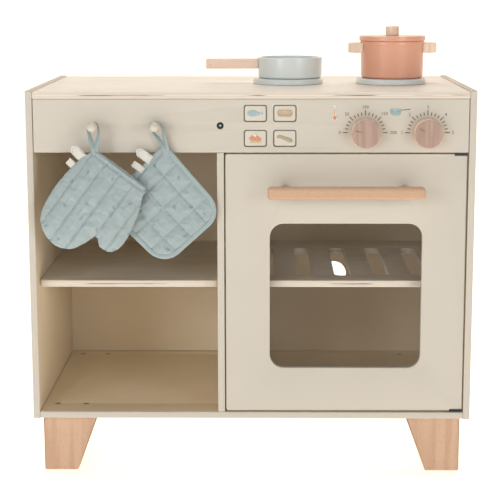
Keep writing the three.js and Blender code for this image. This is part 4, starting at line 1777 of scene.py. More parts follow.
    def _dial(self, name: str) -> None:
        """One turned knob with its pointer, on its axle."""
        node = f"{name}_knob"
        centre = self.frame.centre(node)
        (x0, x1), (y0, y1), _ = self.frame.spans(node)
        radius = (x1 - x0) / 2
        place = Vector((centre.x, y1, centre.z))
        length = y1 - y0
        rim = fillet([
            (4.4 * MM, 0, 0), (radius, 0, 0.9 * MM), (radius, length, 1.6 * MM),
            (radius - 3.2 * MM, length, 0),
        ], closed=False)
        profile = [*rim, (0, length), (0, 13 * MM), (4.4 * MM, 13 * MM), (4.4 * MM, 0)]
        knob = turned(f"{node}_turned", profile, place, Vector((0, -1, 0)), 128)
        dress(knob, self.finishes.knob_rim, self.finishes.knob_face)
        for polygon in knob.data.polygons:
            if polygon.normal.y < -0.75 and polygon.center.y < y0 + 2 * MM:
                polygon.material_index = 1
        commit(knob, f"{name}_dial", "beech", node)
        near, far, width = self.pointer
        turn = math.radians(self.pointer_turns[name])
        bar = rectangle(near, far, -width / 2, width / 2, width / 2.1)
        shape = [
            (x * math.cos(turn) - z * math.sin(turn), x * math.sin(turn) + z * math.cos(turn))
            for x, z in bar
        ]
        mark = self._print(f"{name}_pointer", shape, centre, y0, self.finishes.pointer_ink)
        commit(mark, f"{name}_dial", "beech")
        self.frame.paint(self.finishes.steel, f"{name}_axle", f"{name}_nut")

    def _thermometer(self) -> None:
        """A small thermometer beside the first dial."""
        dial = self.frame.centre("temperature_knob")
        centre = Vector((dial.x - 40.8 * MM, 0, dial.z + 26.5 * MM))
        front = self._front()
        bulb, tube = -7.0, 8.6
        glass = [
            *[(4.4 * math.cos(a), bulb + 4.4 * math.sin(a)) for a in self._arc(118, 422)],
            *[(2.3 * math.cos(a), tube + 2.3 * math.sin(a)) for a in self._arc(0, 180)],
        ]
        inner = [
            *[(3.3 * math.cos(a), bulb + 3.3 * math.sin(a)) for a in self._arc(118, 422)],
            *[(1.4 * math.cos(a), tube + 1.4 * math.sin(a)) for a in self._arc(0, 180)],
        ]
        parts = [
            self._print("glass", glass, centre, front, self.finishes.pale_blue_ink),
            self._print("inside", inner, centre, front, self.finishes.cream_ink, 2),
            self._print("bulb", circle(0, bulb, 2.5, 24), centre, front, self.finishes.red_ink, 3),
            self._print(
                "column", rectangle(-0.5, 0.5, bulb + 2.0, 4.6, 0.3), centre, front, self.finishes.red_ink,
                3
            ),
            self._print(
                "tip", rectangle(-0.8, 0.8, 4.8, 8.2, 0.5), centre, front, self.finishes.pale_blue_ink, 3
            ),
        ]
        commit(joined("thermometer_print", parts), "cabinet", "cream_paint")

    @staticmethod
    def _arc(start: float, end: float, steps: int = 20) -> list[float]:
        """Angles in radians from start to end in degrees."""
        return [math.radians(start + (end - start) * step / steps) for step in range(steps + 1)]

    def _pan_icon(self) -> None:
        """A small frying pan between the dials."""
        left, right = self.frame.centre("temperature_knob"), self.frame.centre("hob_knob")
        centre = Vector((left.x + 40.4 * MM, 0, (left.z + right.z) / 2 + 27.8 * MM))
        front = self._front()
        bowl = fillet([
            (-8.3, 1.5, 2.4), (-6.5, -4.9, 3.6), (5.6, -4.9, 3.6), (7.6, 1.5, 2.4), (7.0, 4.2, 1.6),
            (-7.2, 4.2, 1.6)
        ])
        inside = smooth_outline([(-6.3, 3.0), (-3.4, 1.7), (2.6, 1.7), (5.8, 3.0), (2.6, 3.8), (-3.4, 3.8)])
        handle = [(7.0, 2.5), (18.6, 4.0), (19.2, 3.4), (19.0, 2.7), (7.2, 1.3)]
        parts = [
            self._print("handle", handle, centre, front, self.finishes.number_ink),
            self._print("bowl", bowl, centre, front, self.finishes.blue_ink, 2),
            self._print("inside", inside, centre, front, self.finishes.fish_ink, 3),
        ]
        commit(joined("pan_print", parts), "cabinet", "cream_paint")

    def _button(self, name: str) -> None:
        """One push button with its printed food, and the spring behind it."""
        node = f"{name}_button"
        centre = self.frame.centre(node)
        (x0, x1), (y0, y1), (z0, z1) = self.frame.spans(node)
        half_x, half_z = self._cap_half()
        flange_front = y1 - 3 * MM
        cap = slab(
            "cap", [
                rectangle(
                    centre.x - half_x, centre.x + half_x, centre.z - half_z, centre.z + half_z, 2.8 * MM
                )
            ],
            y0, flange_front + 0.5 * MM, Plane.FRONT, 0.9 * MM,
        )
        flange = slab(
            "flange", [rectangle(x0, x1, z0, z1, 1.5 * MM)], flange_front, y1, Plane.FRONT, 0.4 * MM
        )
        for part in (cap, flange):
            dress(part, self.finishes.button_paint)
        commit(joined(f"{node}_cap", [cap, flange]), node, "button_white", node)
        parts = [
            self._print(f"shape_{index}", outline, centre, y0, ink, layer)
            for index, (outline, ink, layer) in enumerate(getattr(self, f"_{name}_shapes")())
        ]
        commit(joined(f"{name}_print", parts), node, "button_white")
        spring_node = f"{node}_spring"
        middle = self.frame.centre(spring_node)
        _, (front, rear), _ = self.frame.spans(spring_node)
        spring = self.repeats.springs.make(
            f"{name}_spring_wire", [Vector((middle.x, front + 0.6 * MM, middle.z))], Radius=5 * MM,
            Wire=0.5 * MM,
            Turns=5.0, Length=rear - front - 1.2 * MM, Material=self.finishes.steel,
        )
        commit(spring, "cabinet", "zinc_steel", spring_node)
        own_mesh(spring)

    def _fish_shapes(self) -> list[tuple[list[Point], bpy.types.Material, int]]:
        """A plain fish with its tail to the right."""
        body = smooth_outline(
            [(-11, 0.2), (-8.6, 3.4), (-3, 4.7), (3, 2.8), (7.2, 0.4), (3.4, -2.9), (-3, -4.4), (-9, -3.2)]
        )
        tail = fillet([(6.2, 0.4, 0.3), (11.2, 3.8, 0.8), (9.8, 0, 0.6), (11.0, -3.6, 0.8)])
        ink, dark = self.finishes.fish_ink, self.finishes.blue_ink
        eye = circle(-7.9, 0.9, 0.7, 16)
        gill = [(-5.2, -2.2), (-4.5, 0.0), (-5.0, 2.4), (-4.6, 2.4), (-4.0, 0.0), (-4.8, -2.3)]
        return [(tail, ink, 1), (body, ink, 2), (eye, dark, 3), (gill, dark, 3)]

    def _bun_shapes(self) -> list[tuple[list[Point], bpy.types.Material, int]]:
        """A round bun with icing."""
        side = fillet([
            (-10.6, 1.5, 2.0), (-9.2, -4.6, 3.6), (9.2, -4.6, 3.6), (10.6, 1.5, 2.0), (9.0, 4.9, 3.0),
            (-9.0, 4.9, 3.0)
        ])
        top = [(10.0 * math.cos(a), 1.9 + 3.3 * math.sin(a)) for a in self._arc(0, 351, 39)]
        icing = [(4.2 * math.cos(a), 2.4 + 1.2 * math.sin(a)) for a in self._arc(0, 351, 39)]
        line = [(-8.4, -2.4), (0, -4.1), (8.4, -2.4), (8.2, -2.9), (0, -4.6), (-8.2, -2.9)]
        return [
            (side, self.finishes.loaf_ink, 1), (top, self.finishes.bun_ink, 2),
            (icing, self.finishes.pink_ink, 3), (line, self.finishes.pink_ink, 3),
        ]

    def _cake_shapes(self) -> list[tuple[list[Point], bpy.types.Material, int]]:
        """A layered slice with a dab of cream."""
        top = fillet([
            (-9.0, 0.2, 1.0), (-3.0, 5.0, 1.2), (0, 5.6, 0.8), (8.8, -0.6, 0.8), (7.6, -2.2, 0.8),
            (-8.4, -1.2, 0.8)
        ])
        layer = fillet([
            (-7.2, -3.0, 0.6), (-7.0, -1.4, 0.4), (8.0, -2.2, 0.4), (8.2, -3.8, 0.6), (4.0, -4.0, 0.3),
            (-2, -3.4, 0.3)
        ])
        base = fillet([(-6.8, -5.8, 0.8), (-6.8, -4.0, 0.6), (8.0, -4.6, 0.6), (8.0, -5.9, 0.6)])
        dab = smooth_outline([(-3.2, 4.6), (-1.4, 6.2), (0.6, 4.8), (1.4, 2.8), (-0.8, 2.2), (-2.2, 3.2)])
        return [
            (base, self.finishes.bun_ink, 1), (layer, self.finishes.cake_ink, 1),
            (top, self.finishes.cake_ink, 2), (dab, self.finishes.cream_ink, 3),
        ]

    def _loaf_shapes(self) -> list[tuple[list[Point], bpy.types.Material, int]]:
        """A long loaf lying slantwise, with cuts across its crust."""
        loaf = smooth_outline([
            (-10.8, 2.2), (-8.6, 4.6), (-4.6, 4.4), (0.5, 2.6), (6.0, 1.2), (10.2, -1.6), (10.0, -4.8),
            (6.4, -5.6), (1.0, -3.4), (-5.6, -0.4), (-10.0, 0.2)
        ])
        cuts = []
        for x, z in ((-5.6, 2.3), (-0.6, 0.4), (4.4, -1.6)):
            cuts.append(
                (
                    [(x - 1.6, z - 0.6), (x + 1.0, z + 1.3), (x + 1.7, z + 0.9), (x - 0.9, z - 1.0)],
                    self.finishes.bun_ink, 2
                )
            )
        return [(loaf, self.finishes.loaf_ink, 1), *cuts]

    def _button_frame(self) -> None:
        """The plywood board behind the buttons, on its battens."""
        for node, plane in (
            ("button_backboard", Plane.FRONT), ("left_button_batten", Plane.FRONT),
            ("right_button_batten", Plane.FRONT),
        ):
            (x0, x1), depth, (z0, z1) = self.frame.spans(node)
            piece = slab(f"{node}_ply", [rectangle(x0, x1, z0, z1, 0.8 * MM)], *depth, plane, 0.4 * MM)
            map_board(
                piece, 1, 0 if node == "button_backboard" else 2, self.finishes.birch,
                self.finishes.birch_edge
            )
            commit(piece, "cabinet", "plywood", node)


# ------------------------------------------------------------------ oven door


@dataclass
class OvenDoor:
    """The door with its window, handle and hinge leaves."""

    frame: Frame
    finishes: Finishes
    repeats: Repeats
    left_stile: float = 59.7
    right_stile: float = 58.4
    lower_rail: float = 60.8
    upper_rail: float = 94.4
    window_corner: float = 18.5
    hinge_notch: float = 17.2

    def build(self) -> None:
        """Make the door and all that it carries."""
        self._panel()
        self._pane()
        self._handle()
        self.frame.paint(self.finishes.hinge_steel, "upper_hinge_leaf", "lower_hinge_leaf")
        self._strike()

    def _panel(self) -> None:
        """The door board, with its window and a notch for each hinge."""
        (x0, x1), depth, (z0, z1) = self.frame.spans("oven_door")
        notch_x = x1 - self.hinge_notch * MM
        deep = 2.4 * MM
        soft, ease = 3 * MM, 0.5 * MM
        outline = fillet([
            (x0, z0, soft), (notch_x, z0, ease), (notch_x, z0 + deep, ease), (x1, z0 + deep, ease),
            (x1, z1 - deep, ease), (notch_x, z1 - deep, ease), (notch_x, z1, ease), (x0, z1, soft),
        ])
        window = rectangle(
            x0 + self.left_stile * MM, x1 - self.right_stile * MM,
            z0 + self.lower_rail * MM, z1 - self.upper_rail * MM, self.window_corner * MM,
        )
        screws = [
            circle(
                self.frame.centre(f"{side}_handle_screw").x, self.frame.centre(f"{side}_handle_screw").z,
                2.4 * MM, 24
            )
            for side in ("left", "right")
        ]
        panel = slab("oven_door_board", [outline, window, *screws], *depth, Plane.FRONT, 1.0 * MM)
        map_board(panel, 1, 2, self.finishes.cream, self.finishes.cream_edge)
        commit(panel, "door", "cream_paint", "oven_door")

    def _pane(self) -> None:
        """The acrylic sheet behind the window, with its screws."""
        (x0, x1), (y0, y1), (z0, z1) = self.frame.spans("window_pane")
        pane = slab("window_sheet", [rectangle(x0, x1, z0, z1, 8 * MM)], y0, y1, Plane.FRONT, 0.3 * MM)
        commit(dress(pane, self.finishes.acrylic), "door", "clear_acrylic", "window_pane")
        inset = 4 * MM
        spots = [
            Vector((x, y1 + 0.9 * MM, z))
            for x in (x0 + inset, (x0 + x1) / 2, x1 - inset) for z in (z0 + inset, (z0 + z1) / 2, z1 - inset)
            if (x, z) != ((x0 + x1) / 2, (z0 + z1) / 2)
        ]
        head = ScrewHead(radius=2.6, depth=1.0, recess=1.3, bar=0.35).build("pane_screw_source")
        screws = self.repeats.fasteners.make(
            "window_screws", spots, Fastener=head, Facing=(-math.pi / 2, 0.0, 0.0), Seed=2,
            Material=self.finishes.steel,
        )
        bpy.data.objects.remove(head)
        commit(screws, "door", "zinc_steel")

    def _handle(self) -> None:
        """The beech bar on its two stand-offs, and the screws behind the door."""
        (x0, x1), (y0, y1), (z0, z1) = self.frame.spans("door_handle_bar")
        bar = slab("handle_bar", [rectangle(x0, x1, z0, z1, 4.5 * MM)], y0, y1, Plane.FRONT, 3.6 * MM)
        commit(dress(bar, self.finishes.beech_x), "door", "beech", "door_handle_bar")
        for side in ("left", "right"):
            node = f"{side}_handle_standoff"
            (a0, a1), (front, rear), _ = self.frame.spans(node)
            centre = self.frame.centre(node)
            radius = (a1 - a0) / 2
            profile = fillet([
                (2.4 * MM, 0, 0), (radius, 0, 0.6 * MM), (radius, rear - front, 0.6 * MM),
                (2.4 * MM, rear - front, 0)
            ], closed=False)
            post = turned(
                f"{node}_dowel", [*profile, profile[0]], Vector((centre.x, rear, centre.z)),
                Vector((0, -1, 0)), 48
            )
            commit(dress(post, self.finishes.beech_x), "door", "beech", node)
            screw_node = f"{side}_handle_screw"
            _, (tip, back), _ = self.frame.spans(screw_node)
            head = ScrewHead(radius=4.0, depth=2.2, recess=2.0, bar=0.5).build("handle_screw_head")
            head.data.transform(Matrix.Rotation(-math.pi / 2, 4, "X"))
            head.data.transform(Matrix.Translation((centre.x, back - 0.15 * MM, centre.z)))
            dress(head, self.finishes.steel)
            head_back = back - 1.6 * MM
            shank = turned(
                "handle_screw_shank", [
                    (0, tip), (1.2 * MM, tip), (2 * MM, tip + 2 * MM), (2 * MM, head_back), (0, head_back)
                ],
                Vector((centre.x, 0, centre.z)), Vector((0, 1, 0)), 24,
            )
            dress(shank, self.finishes.steel)
            commit(joined(f"{side}_handle_machine_screw", [head, shank]), "door", "zinc_steel", screw_node)

    def _strike(self) -> None:
        """The steel plate that meets the magnet."""
        (x0, x1), (y0, y1), (z0, z1) = self.frame.spans("strike_plate")
        centre = self.frame.centre("strike_plate")
        holes = [circle(centre.x, z, 1.8 * MM, 24) for z in (z0 + 4 * MM, z1 - 4 * MM)]
        plate = slab(
            "strike_plate_steel", [rectangle(x0, x1, z0, z1, 2 * MM), *holes], y0, y1, Plane.FRONT, 0.2 * MM
        )
        commit(dress(plate, self.finishes.steel), "door", "zinc_steel", "strike_plate")


# ------------------------------------------------------------------ cookware


@dataclass
class Cookware:
    """The hob discs, the pan and the lidded pot."""

    frame: Frame
    finishes: Finishes
    wall: float = 5.0
    foot_round: float = 4.0

    def build(self) -> None:
        """Make all of it."""
        for side in ("left", "right"):
            self._hob(f"{side}_hob_disc")
        self._vessel("pan_body", "pan", 0.0, self.finishes.grey_blue, "grey_blue_paint")
        self._vessel("pot_body", "pot", 0.7, self.finishes.terracotta, "terracotta_paint")
        self._pan_handle()
        self._pot_handles()
        self._lid()

    def _hob(self, node: str) -> None:
        """One flat disc with a soft upper edge."""
        (x0, x1), _, (z0, z1) = self.frame.spans(node)
        centre = self.frame.centre(node)
        radius, height = (x1 - x0) / 2, z1 - z0
        profile = fillet(
            [(0, 0, 0), (radius, 0, 0.5 * MM), (radius, height, 3.2 * MM), (0, height, 0)], closed=False
        )
        disc = turned(f"{node}_turned", profile, Vector((centre.x, centre.y, z0)), Vector((0, 0, 1)), 128)
        commit(dress(disc, self.finishes.grey_blue), "cabinet", "grey_blue_paint", node)

    def _vessel(self, node: str, body: str, rim: float, paint: bpy.types.Material, slot: str) -> None:
        """One turned vessel.

        Args:
            node: Its CAD node.
            body: The body that it rides on.
            rim: How far its rim stands out, in millimetres.
            paint: Its finish.
            slot: The record's slot.
        """
        (x0, x1), _, (z0, z1) = self.frame.spans(node)
        centre = self.frame.centre(node)
        rim_radius, height = (x1 - x0) / 2, z1 - z0
        radius = rim_radius - rim * MM
        inner = radius - self.wall * MM
        shoulder = height - 5.6 * MM
        outside = [(0, 0, 0), (radius - 0.8 * MM, 0, self.foot_round * MM)]
        if rim:
            outside += [(radius, shoulder, 0.2 * MM), (rim_radius, shoulder + 0.1 * MM, 0.2 * MM)]
        corners = [
            *outside, (rim_radius, height, 1.2 * MM), (inner, height, 1.2 * MM),
            (inner, self.wall * MM, 3 * MM), (0, self.wall * MM, 0),
        ]
        vessel = turned(
            f"{node}_turned", fillet(corners, closed=False), Vector((centre.x, centre.y, z0)),
            Vector((0, 0, 1)), 128,
        )
        commit(dress(vessel, paint), body, slot, node)

    def _pan_handle(self) -> None:
        """The pan's square beech handle, hollowed at its end to fit the pan."""
        (x0, x1), (y0, y1), (z0, z1) = self.frame.spans("pan_handle")
        pan = self.frame.centre("pan_body")
        (pan_low, pan_high), _, _ = self.frame.spans("pan_body")
        radius = (pan_high - pan_low) / 2 + 0.1 * MM
        shape = self._against_round((x0, x1), (y0, y1), pan, radius, 1.6 * MM, 1)
        handle = slab("pan_handle_stick", [shape], z0, z1, Plane.TOP, 1.4 * MM)
        commit(dress(handle, self.finishes.handle_beech), "pan", "beech", "pan_handle")

    @staticmethod
    def _against_round(
        span_x: tuple[float, float], span_y: tuple[float, float], centre: Vector,
        radius: float, corner: float, side: int,
    ) -> list[Point]:
        """A grip's outline from above, whose inner end follows a round body.

        Args:
            span_x: The grip's reach on X.
            span_y: The grip's reach on Y.
            centre: The body's axis.
            radius: The body's radius.
            corner: The radius of the grip's outer corners.
            side: 1 where the body is on the grip's right, and -1 where it is on its left.

        Returns:
            The outline.
        """
        half = (span_y[1] - span_y[0]) / 2
        middle = (span_y[0] + span_y[1]) / 2
        reach = math.asin(min(0.98, half / radius))
        touch = centre.x - side * radius * math.cos(reach)
        outer = span_x[0] if side > 0 else span_x[1]
        ends = fillet([
            (touch, middle + half, 0), (outer, middle + half, corner), (outer, middle - half, corner),
            (touch, middle - half, 0)
        ], closed=False)
        follow = [
            (centre.x - side * radius * math.cos(angle), middle + radius * math.sin(angle))
            for angle in (reach * (step / 6 - 1) for step in range(1, 12))
        ]
        return [*ends, *follow]

    def _pot_handles(self) -> None:
        """The pot's two rounded grips."""
        pot = self.frame.centre("pot_body")
        (low, high), _, _ = self.frame.spans("pot_body")
        radius = (high - low) / 2 - 0.2 * MM
        for side, sign in (("left", 1), ("right", -1)):
            node = f"{side}_pot_handle"
            span_x, span_y, (z0, z1) = self.frame.spans(node)
            shape = self._against_round(span_x, span_y, pot, radius, 9 * MM, sign)
            grip = slab(f"{node}_grip", [shape], z0, z1, Plane.TOP, 1.5 * MM)
            commit(dress(grip, self.finishes.pale_beech), "pot", "beech", node)

    def _lid(self) -> None:
        """The pot's lid with its plug, and its knob."""
        (x0, x1), _, (z0, z1) = self.frame.spans("pot_lid")
        centre = self.frame.centre("pot_lid")
        radius, plug = (x1 - x0) / 2, 3 * MM
        top = z1 - z0 - plug
        profile = fillet([
            (0, -plug, 0), (38.4 * MM, -plug, 0.8 * MM), (38.4 * MM, 0, 0), (radius, 0, 0.8 * MM),
            (radius, top, 1.6 * MM), (0, top, 0),
        ], closed=False)
        lid = turned(
            "pot_lid_turned", profile, Vector((centre.x, centre.y, z0 + plug)), Vector((0, 0, 1)), 128
        )
        commit(dress(lid, self.finishes.terracotta), "lid", "terracotta_paint", "pot_lid")
        (k0, k1), _, (low, high) = self.frame.spans("lid_knob")
        knob_radius = (k1 - k0) / 2
        shape = fillet([
            (0, 0, 0), (knob_radius, 0, 0.3 * MM), (knob_radius, high - low, 1.1 * MM),
            (0, high - low, 0)
        ], closed=False)
        knob = turned("lid_knob_turned", shape, Vector((centre.x, centre.y, low)), Vector((0, 0, 1)), 64)
        commit(dress(knob, self.finishes.pale_beech), "lid", "beech", "lid_knob")


# ------------------------------------------------------------------ quilted cotton


@dataclass
class QuiltedPad:
    """Two quilted sheets sewn together round their outline and puffed up by a cloth simulation.

    The outline and the seams are flat, in millimetres. Depth is measured from the middle plane to each side.
    """

    name: str
    outline: list[Point]
    seams: list[tuple[Point, Point]]
    place: Callable[[float, float], Point]
    middle: float
    half: float
    run: float
    seam_part: float = 0.55
    channel: float = 11.0
    spacing: float = 2.1
    pressure: float = 5.0
    growth: float = 0.018
    cap: float = 4.0
    mouth: bool = False
    mouth_part: float = 0.42
    mouth_run: float = 50.0
    back_rise: float = 2.6
    pocket: list[Point] = field(default_factory=list)
    wall: float = 3.2
    groove: float = 1.6
    folds: float = 1.0
    frames: int = 20

    def __post_init__(self) -> None:
        """Index the outline and the seams for distances."""
        self._edge = self._tree(
            [spot for spot in self.resampled(self.outline, 1.0) if not self._on_mouth(spot)]
        )
        self._lines = self._tree(
            [spot for seam in self.seams for spot in self.seam_points(seam, 1.0)] or [(1e4, 1e4)]
        )

    @staticmethod
    def _tree(spots: Sequence[Point]) -> KDTree:
        """Index flat points."""
        tree = KDTree(len(spots))
        for index, (x, y) in enumerate(spots):
            tree.insert((x, y, 0), index)
        tree.balance()
        return tree

    @staticmethod
    def resampled(loop: Sequence[Point], pitch: float) -> list[Point]:
        """Space points evenly along a closed outline."""
        spots = []
        for (x0, y0), (x1, y1) in zip(loop, [*loop[1:], loop[0]]):
            steps = max(1, round(math.dist((x0, y0), (x1, y1)) / pitch))
            spots += [(x0 + (x1 - x0) * step / steps, y0 + (y1 - y0) * step / steps) for step in range(steps)]
        return spots

    def _on_mouth(self, spot: Point) -> bool:
        """Whether a flat point lies on the open edge, which is the line y = 0, and not at its ends."""
        return self.mouth and spot[1] > -0.01 and 0.01 < spot[0] < self._mouth_width() - 0.01

    def _mouth_width(self) -> float:
        """The open edge's length."""
        return max(x for x, y in self.outline if y > -0.01)

    def inside(self, spot: Point) -> bool:
        """Whether a flat point lies inside the outline."""
        x, y = spot
        odd = False
        for (x0, y0), (x1, y1) in zip(self.outline, [*self.outline[1:], self.outline[0]]):
            if (y0 > y) != (y1 > y) and x < (x1 - x0) * (y - y0) / (y1 - y0) + x0:
                odd = not odd
        return odd

    def seam_points(self, seam: tuple[Point, Point], pitch: float) -> list[Point]:
        """Space points along the part of a seam that lies on the pad."""
        (x0, y0), (x1, y1) = seam
        steps = max(1, round(math.dist(*seam) / pitch))
        spots = [(x0 + (x1 - x0) * step / steps, y0 + (y1 - y0) * step / steps) for step in range(steps + 1)]
        return [spot for spot in spots if self.inside(spot)]

    def from_edge(self, spot: Point) -> float:
        """How far a flat point is from the sewn outline."""
        return self._edge.find((*spot, 0))[2]

    def _from_seam(self, spot: Point) -> float:
        """How far a flat point is from the nearest seam."""
        return self._lines.find((*spot, 0))[2]

    def depth(self, spot: Point) -> float:
        """How far the cloth stands from the middle plane before it is puffed up, in millimetres."""
        crown = self.half * (1 - math.exp(-self.from_edge(spot) / self.run))
        if self.mouth:
            part = min(1.0, max(0.0, -spot[1] / self.mouth_run))
            crown *= self.mouth_part + (1 - self.mouth_part) * part * part * (3 - 2 * part)
        rise = min(1.0, self._from_seam(spot) / self.channel)
        return crown * (self.seam_part + (1 - self.seam_part) * math.sqrt(rise))

    def build(self) -> bpy.types.Object:
        """Sew, puff up and smooth the pad.

        Returns:
            The piece, with the flat cloth as its UV map.
        """
        piece, pinned = self._sew()
        self._puff(piece, pinned)
        piece.modifiers.new("smooth", "SUBSURF").levels = 1
        mesh = plain_mesh(piece, self.name)
        self._pucker(mesh)
        mesh.shade_smooth()
        return link(self.name, mesh)

    def flatten(
        self, loop: Sequence[Point], keep: Callable[[Point], bool], seams: bool
    ) -> tuple[list[Point], list[Sequence[int]], set[int], set[int]]:
        """Triangulate a flat sheet.

        Args:
            loop: Its edge, resampled.
            keep: Which inner points to use.
            seams: Whether points follow the seams.

        Returns:
            The points, the triangles, the indices on the edge and the indices on the seams.
        """
        edge_count = len(loop)
        inner: list[Point] = []
        if seams:
            for seam in self.seams:
                inner += [spot for spot in self.seam_points(seam, self.spacing) if keep(spot)]
        seam_count = len(inner)
        low_x, low_y = (min(values) for values in zip(*loop))
        high_x, high_y = (max(values) for values in zip(*loop))
        rows = int((high_y - low_y) / (self.spacing * 0.866)) + 1
        columns = int((high_x - low_x) / self.spacing) + 1
        for row in range(rows):
            for column in range(columns):
                spot = (low_x + (column + 0.5 * (row % 2)) * self.spacing, low_y + row * self.spacing * 0.866)
                if keep(spot) and (not seams or self._from_seam(spot) > self.spacing * 0.62):
                    inner.append(spot)
        flat = [Vector(spot) for spot in [*loop, *inner]]
        spots, _, faces, origins, _, _ = geometry.delaunay_2d_cdt(
            flat, [], [list(range(edge_count))], 1, 1e-5
        )
        on_edge = {index for index, origin in enumerate(origins) if min(origin) < edge_count}
        on_seam = {
            index for index, origin in enumerate(origins)
            if edge_count <= min(origin) < edge_count + seam_count
        }
        return [tuple(spot) for spot in spots], faces, on_edge, on_seam

    def _sew(self) -> tuple[bpy.types.Object, list[int]]:
        """Make the closed form before it is puffed up.

        Returns:
            The form, and the indices of the points that the thread holds.
        """
        loop = self.resampled(self.outline, self.spacing)

        def roomy(spot: Point) -> bool:
            """Whether a grid point keeps clear of the edge."""
            clear = self.from_edge(spot) > self.spacing * 0.75
            return clear and self.inside(spot) and not (self.mouth and spot[1] > -self.spacing * 0.75)

        spots, faces, on_edge, on_seam = self.flatten(loop, roomy, True)
        work = bmesh.new()
        layer = work.loops.layers.uv.new("flat")
        flat_of: dict[bmesh.types.BMVert, Point] = {}

        def add(spot: Point, depth: float) -> bmesh.types.BMVert:
            """Add one point of the cloth."""
            x, z = self.place(*spot)
            vertex = work.verts.new((x, self.middle + depth * MM, z))
            flat_of[vertex] = spot
            return vertex

        sheets: list[list[bmesh.types.BMVert]] = []
        pinned: list[bmesh.types.BMVert] = []
        for sign in (-1, 1):
            sheet = []
            for index, spot in enumerate(spots):
                sewn = index in on_edge and not self._on_mouth(spot)
                if sign > 0 and self._on_mouth(spot):
                    spot = (
                        spot[0],
                        spot[1] + self.back_rise * math.sin(math.pi * spot[0] / self._mouth_width()) ** 0.5
                    )
                vertex = sheets[0][index] if sign > 0 and sewn else add(
                    spot, 0.0 if sewn else sign * self.depth(spot)
                )
                if index in on_edge or index in on_seam:
                    pinned.append(vertex)
                sheet.append(vertex)
            sheets.append(sheet)
            for face in faces:
                if any(index not in on_edge or self._on_mouth(spots[index]) for index in face):
                    work.faces.new([sheet[index] for index in face])
        if self.mouth:
            self._line(work, add, sheets, spots, pinned)
        loose = [vertex for vertex in work.verts if not vertex.link_faces]
        bmesh.ops.delete(work, geom=loose, context="VERTS")
        bmesh.ops.recalc_face_normals(work, faces=work.faces)
        for face in work.faces:
            shift = 0.4 if face.normal.y > 0 else 0.0
            for corner in face.loops:
                x, y = flat_of[corner.vert]
                corner[layer].uv = (x * MM + shift, y * MM)
        work.verts.index_update()
        held = sorted({vertex.index for vertex in pinned if vertex.is_valid})
        mesh = bpy.data.meshes.new(self.name)
        work.to_mesh(mesh)
        work.free()
        return link(f"{self.name}_flat", mesh), held

    def _line(
        self, work: bmesh.types.BMesh, add: Callable[[Point, float], bmesh.types.BMVert],
        sheets: list[list[bmesh.types.BMVert]], spots: list[Point], pinned: list[bmesh.types.BMVert],
    ) -> None:
        """Hang the lining in the open edge.

        Args:
            work: The mesh.
            add: What adds a point.
            sheets: The front and back sheets' points.
            spots: The flat points of both.
            pinned: The held points, which the lining's join.
        """
        mouth = sorted(
            (index for index, spot in enumerate(spots) if spot[1] > -0.01), key=lambda index: spots[index][0]
        )
        width = self._mouth_width()
        inset = 3.0
        top = [(inset + spots[index][0] * (width - 2 * inset) / width, -0.6) for index in mouth]
        loop = [*top, *self.resampled(self.pocket, 4.0)]
        saved, self.spacing = self.spacing, 5.0
        shape, self.outline = self.outline, loop
        flat, faces, on_edge, _ = self.flatten(
            loop, lambda spot: self.inside(spot) and self._clear_of(spot, loop), False
        )
        self.spacing, self.outline = saved, shape
        top_place = {spot: order for order, spot in enumerate(top)}
        rims: list[list[bmesh.types.BMVert | None]] = []
        first: list[bmesh.types.BMVert] = []
        for sign in (-1, 1):
            lining = []
            joints = set()
            rim: list[bmesh.types.BMVert | None] = [None] * len(top)
            for index, spot in enumerate(flat):
                order = self._nearest(spot, top_place) if index in on_edge else None
                ends = order in (0, len(top) - 1)
                sewn = index in on_edge and (order is None or ends)
                joints.update([index] if sewn else [])
                if sign > 0 and sewn:
                    vertex = first[index]
                else:
                    depth = 0.0 if sewn else max(0.5, self.depth(spot) - self.wall)
                    vertex = add(spot, sign * depth)
                if order is not None:
                    rim[order] = vertex
                lining.append(vertex)
            first = first or lining
            rims.append(rim)
            pinned.extend(lining)
            for face in faces:
                if not joints.issuperset(face):
                    work.faces.new([lining[index] for index in face])
        for sheet, rim in zip(sheets, rims):
            for order in range(len(mouth) - 1):
                corners = [sheet[mouth[order]], sheet[mouth[order + 1]], rim[order + 1], rim[order]]
                unique = list(dict.fromkeys(corner for corner in corners if corner is not None))
                if len(unique) > 2:
                    work.faces.new(unique)

    @staticmethod
    def _clear_of(spot: Point, loop: Sequence[Point]) -> bool:
        """Whether a point keeps its distance from an edge's points."""
        return min(math.dist(spot, other) for other in loop) > 3.0

    @staticmethod
    def _nearest(spot: Point, places: dict[Point, int]) -> int | None:
        """The order of the place at a spot, if there is one."""
        for other, order in places.items():
            if math.dist(spot, other) < 0.01:
                return order
        return None

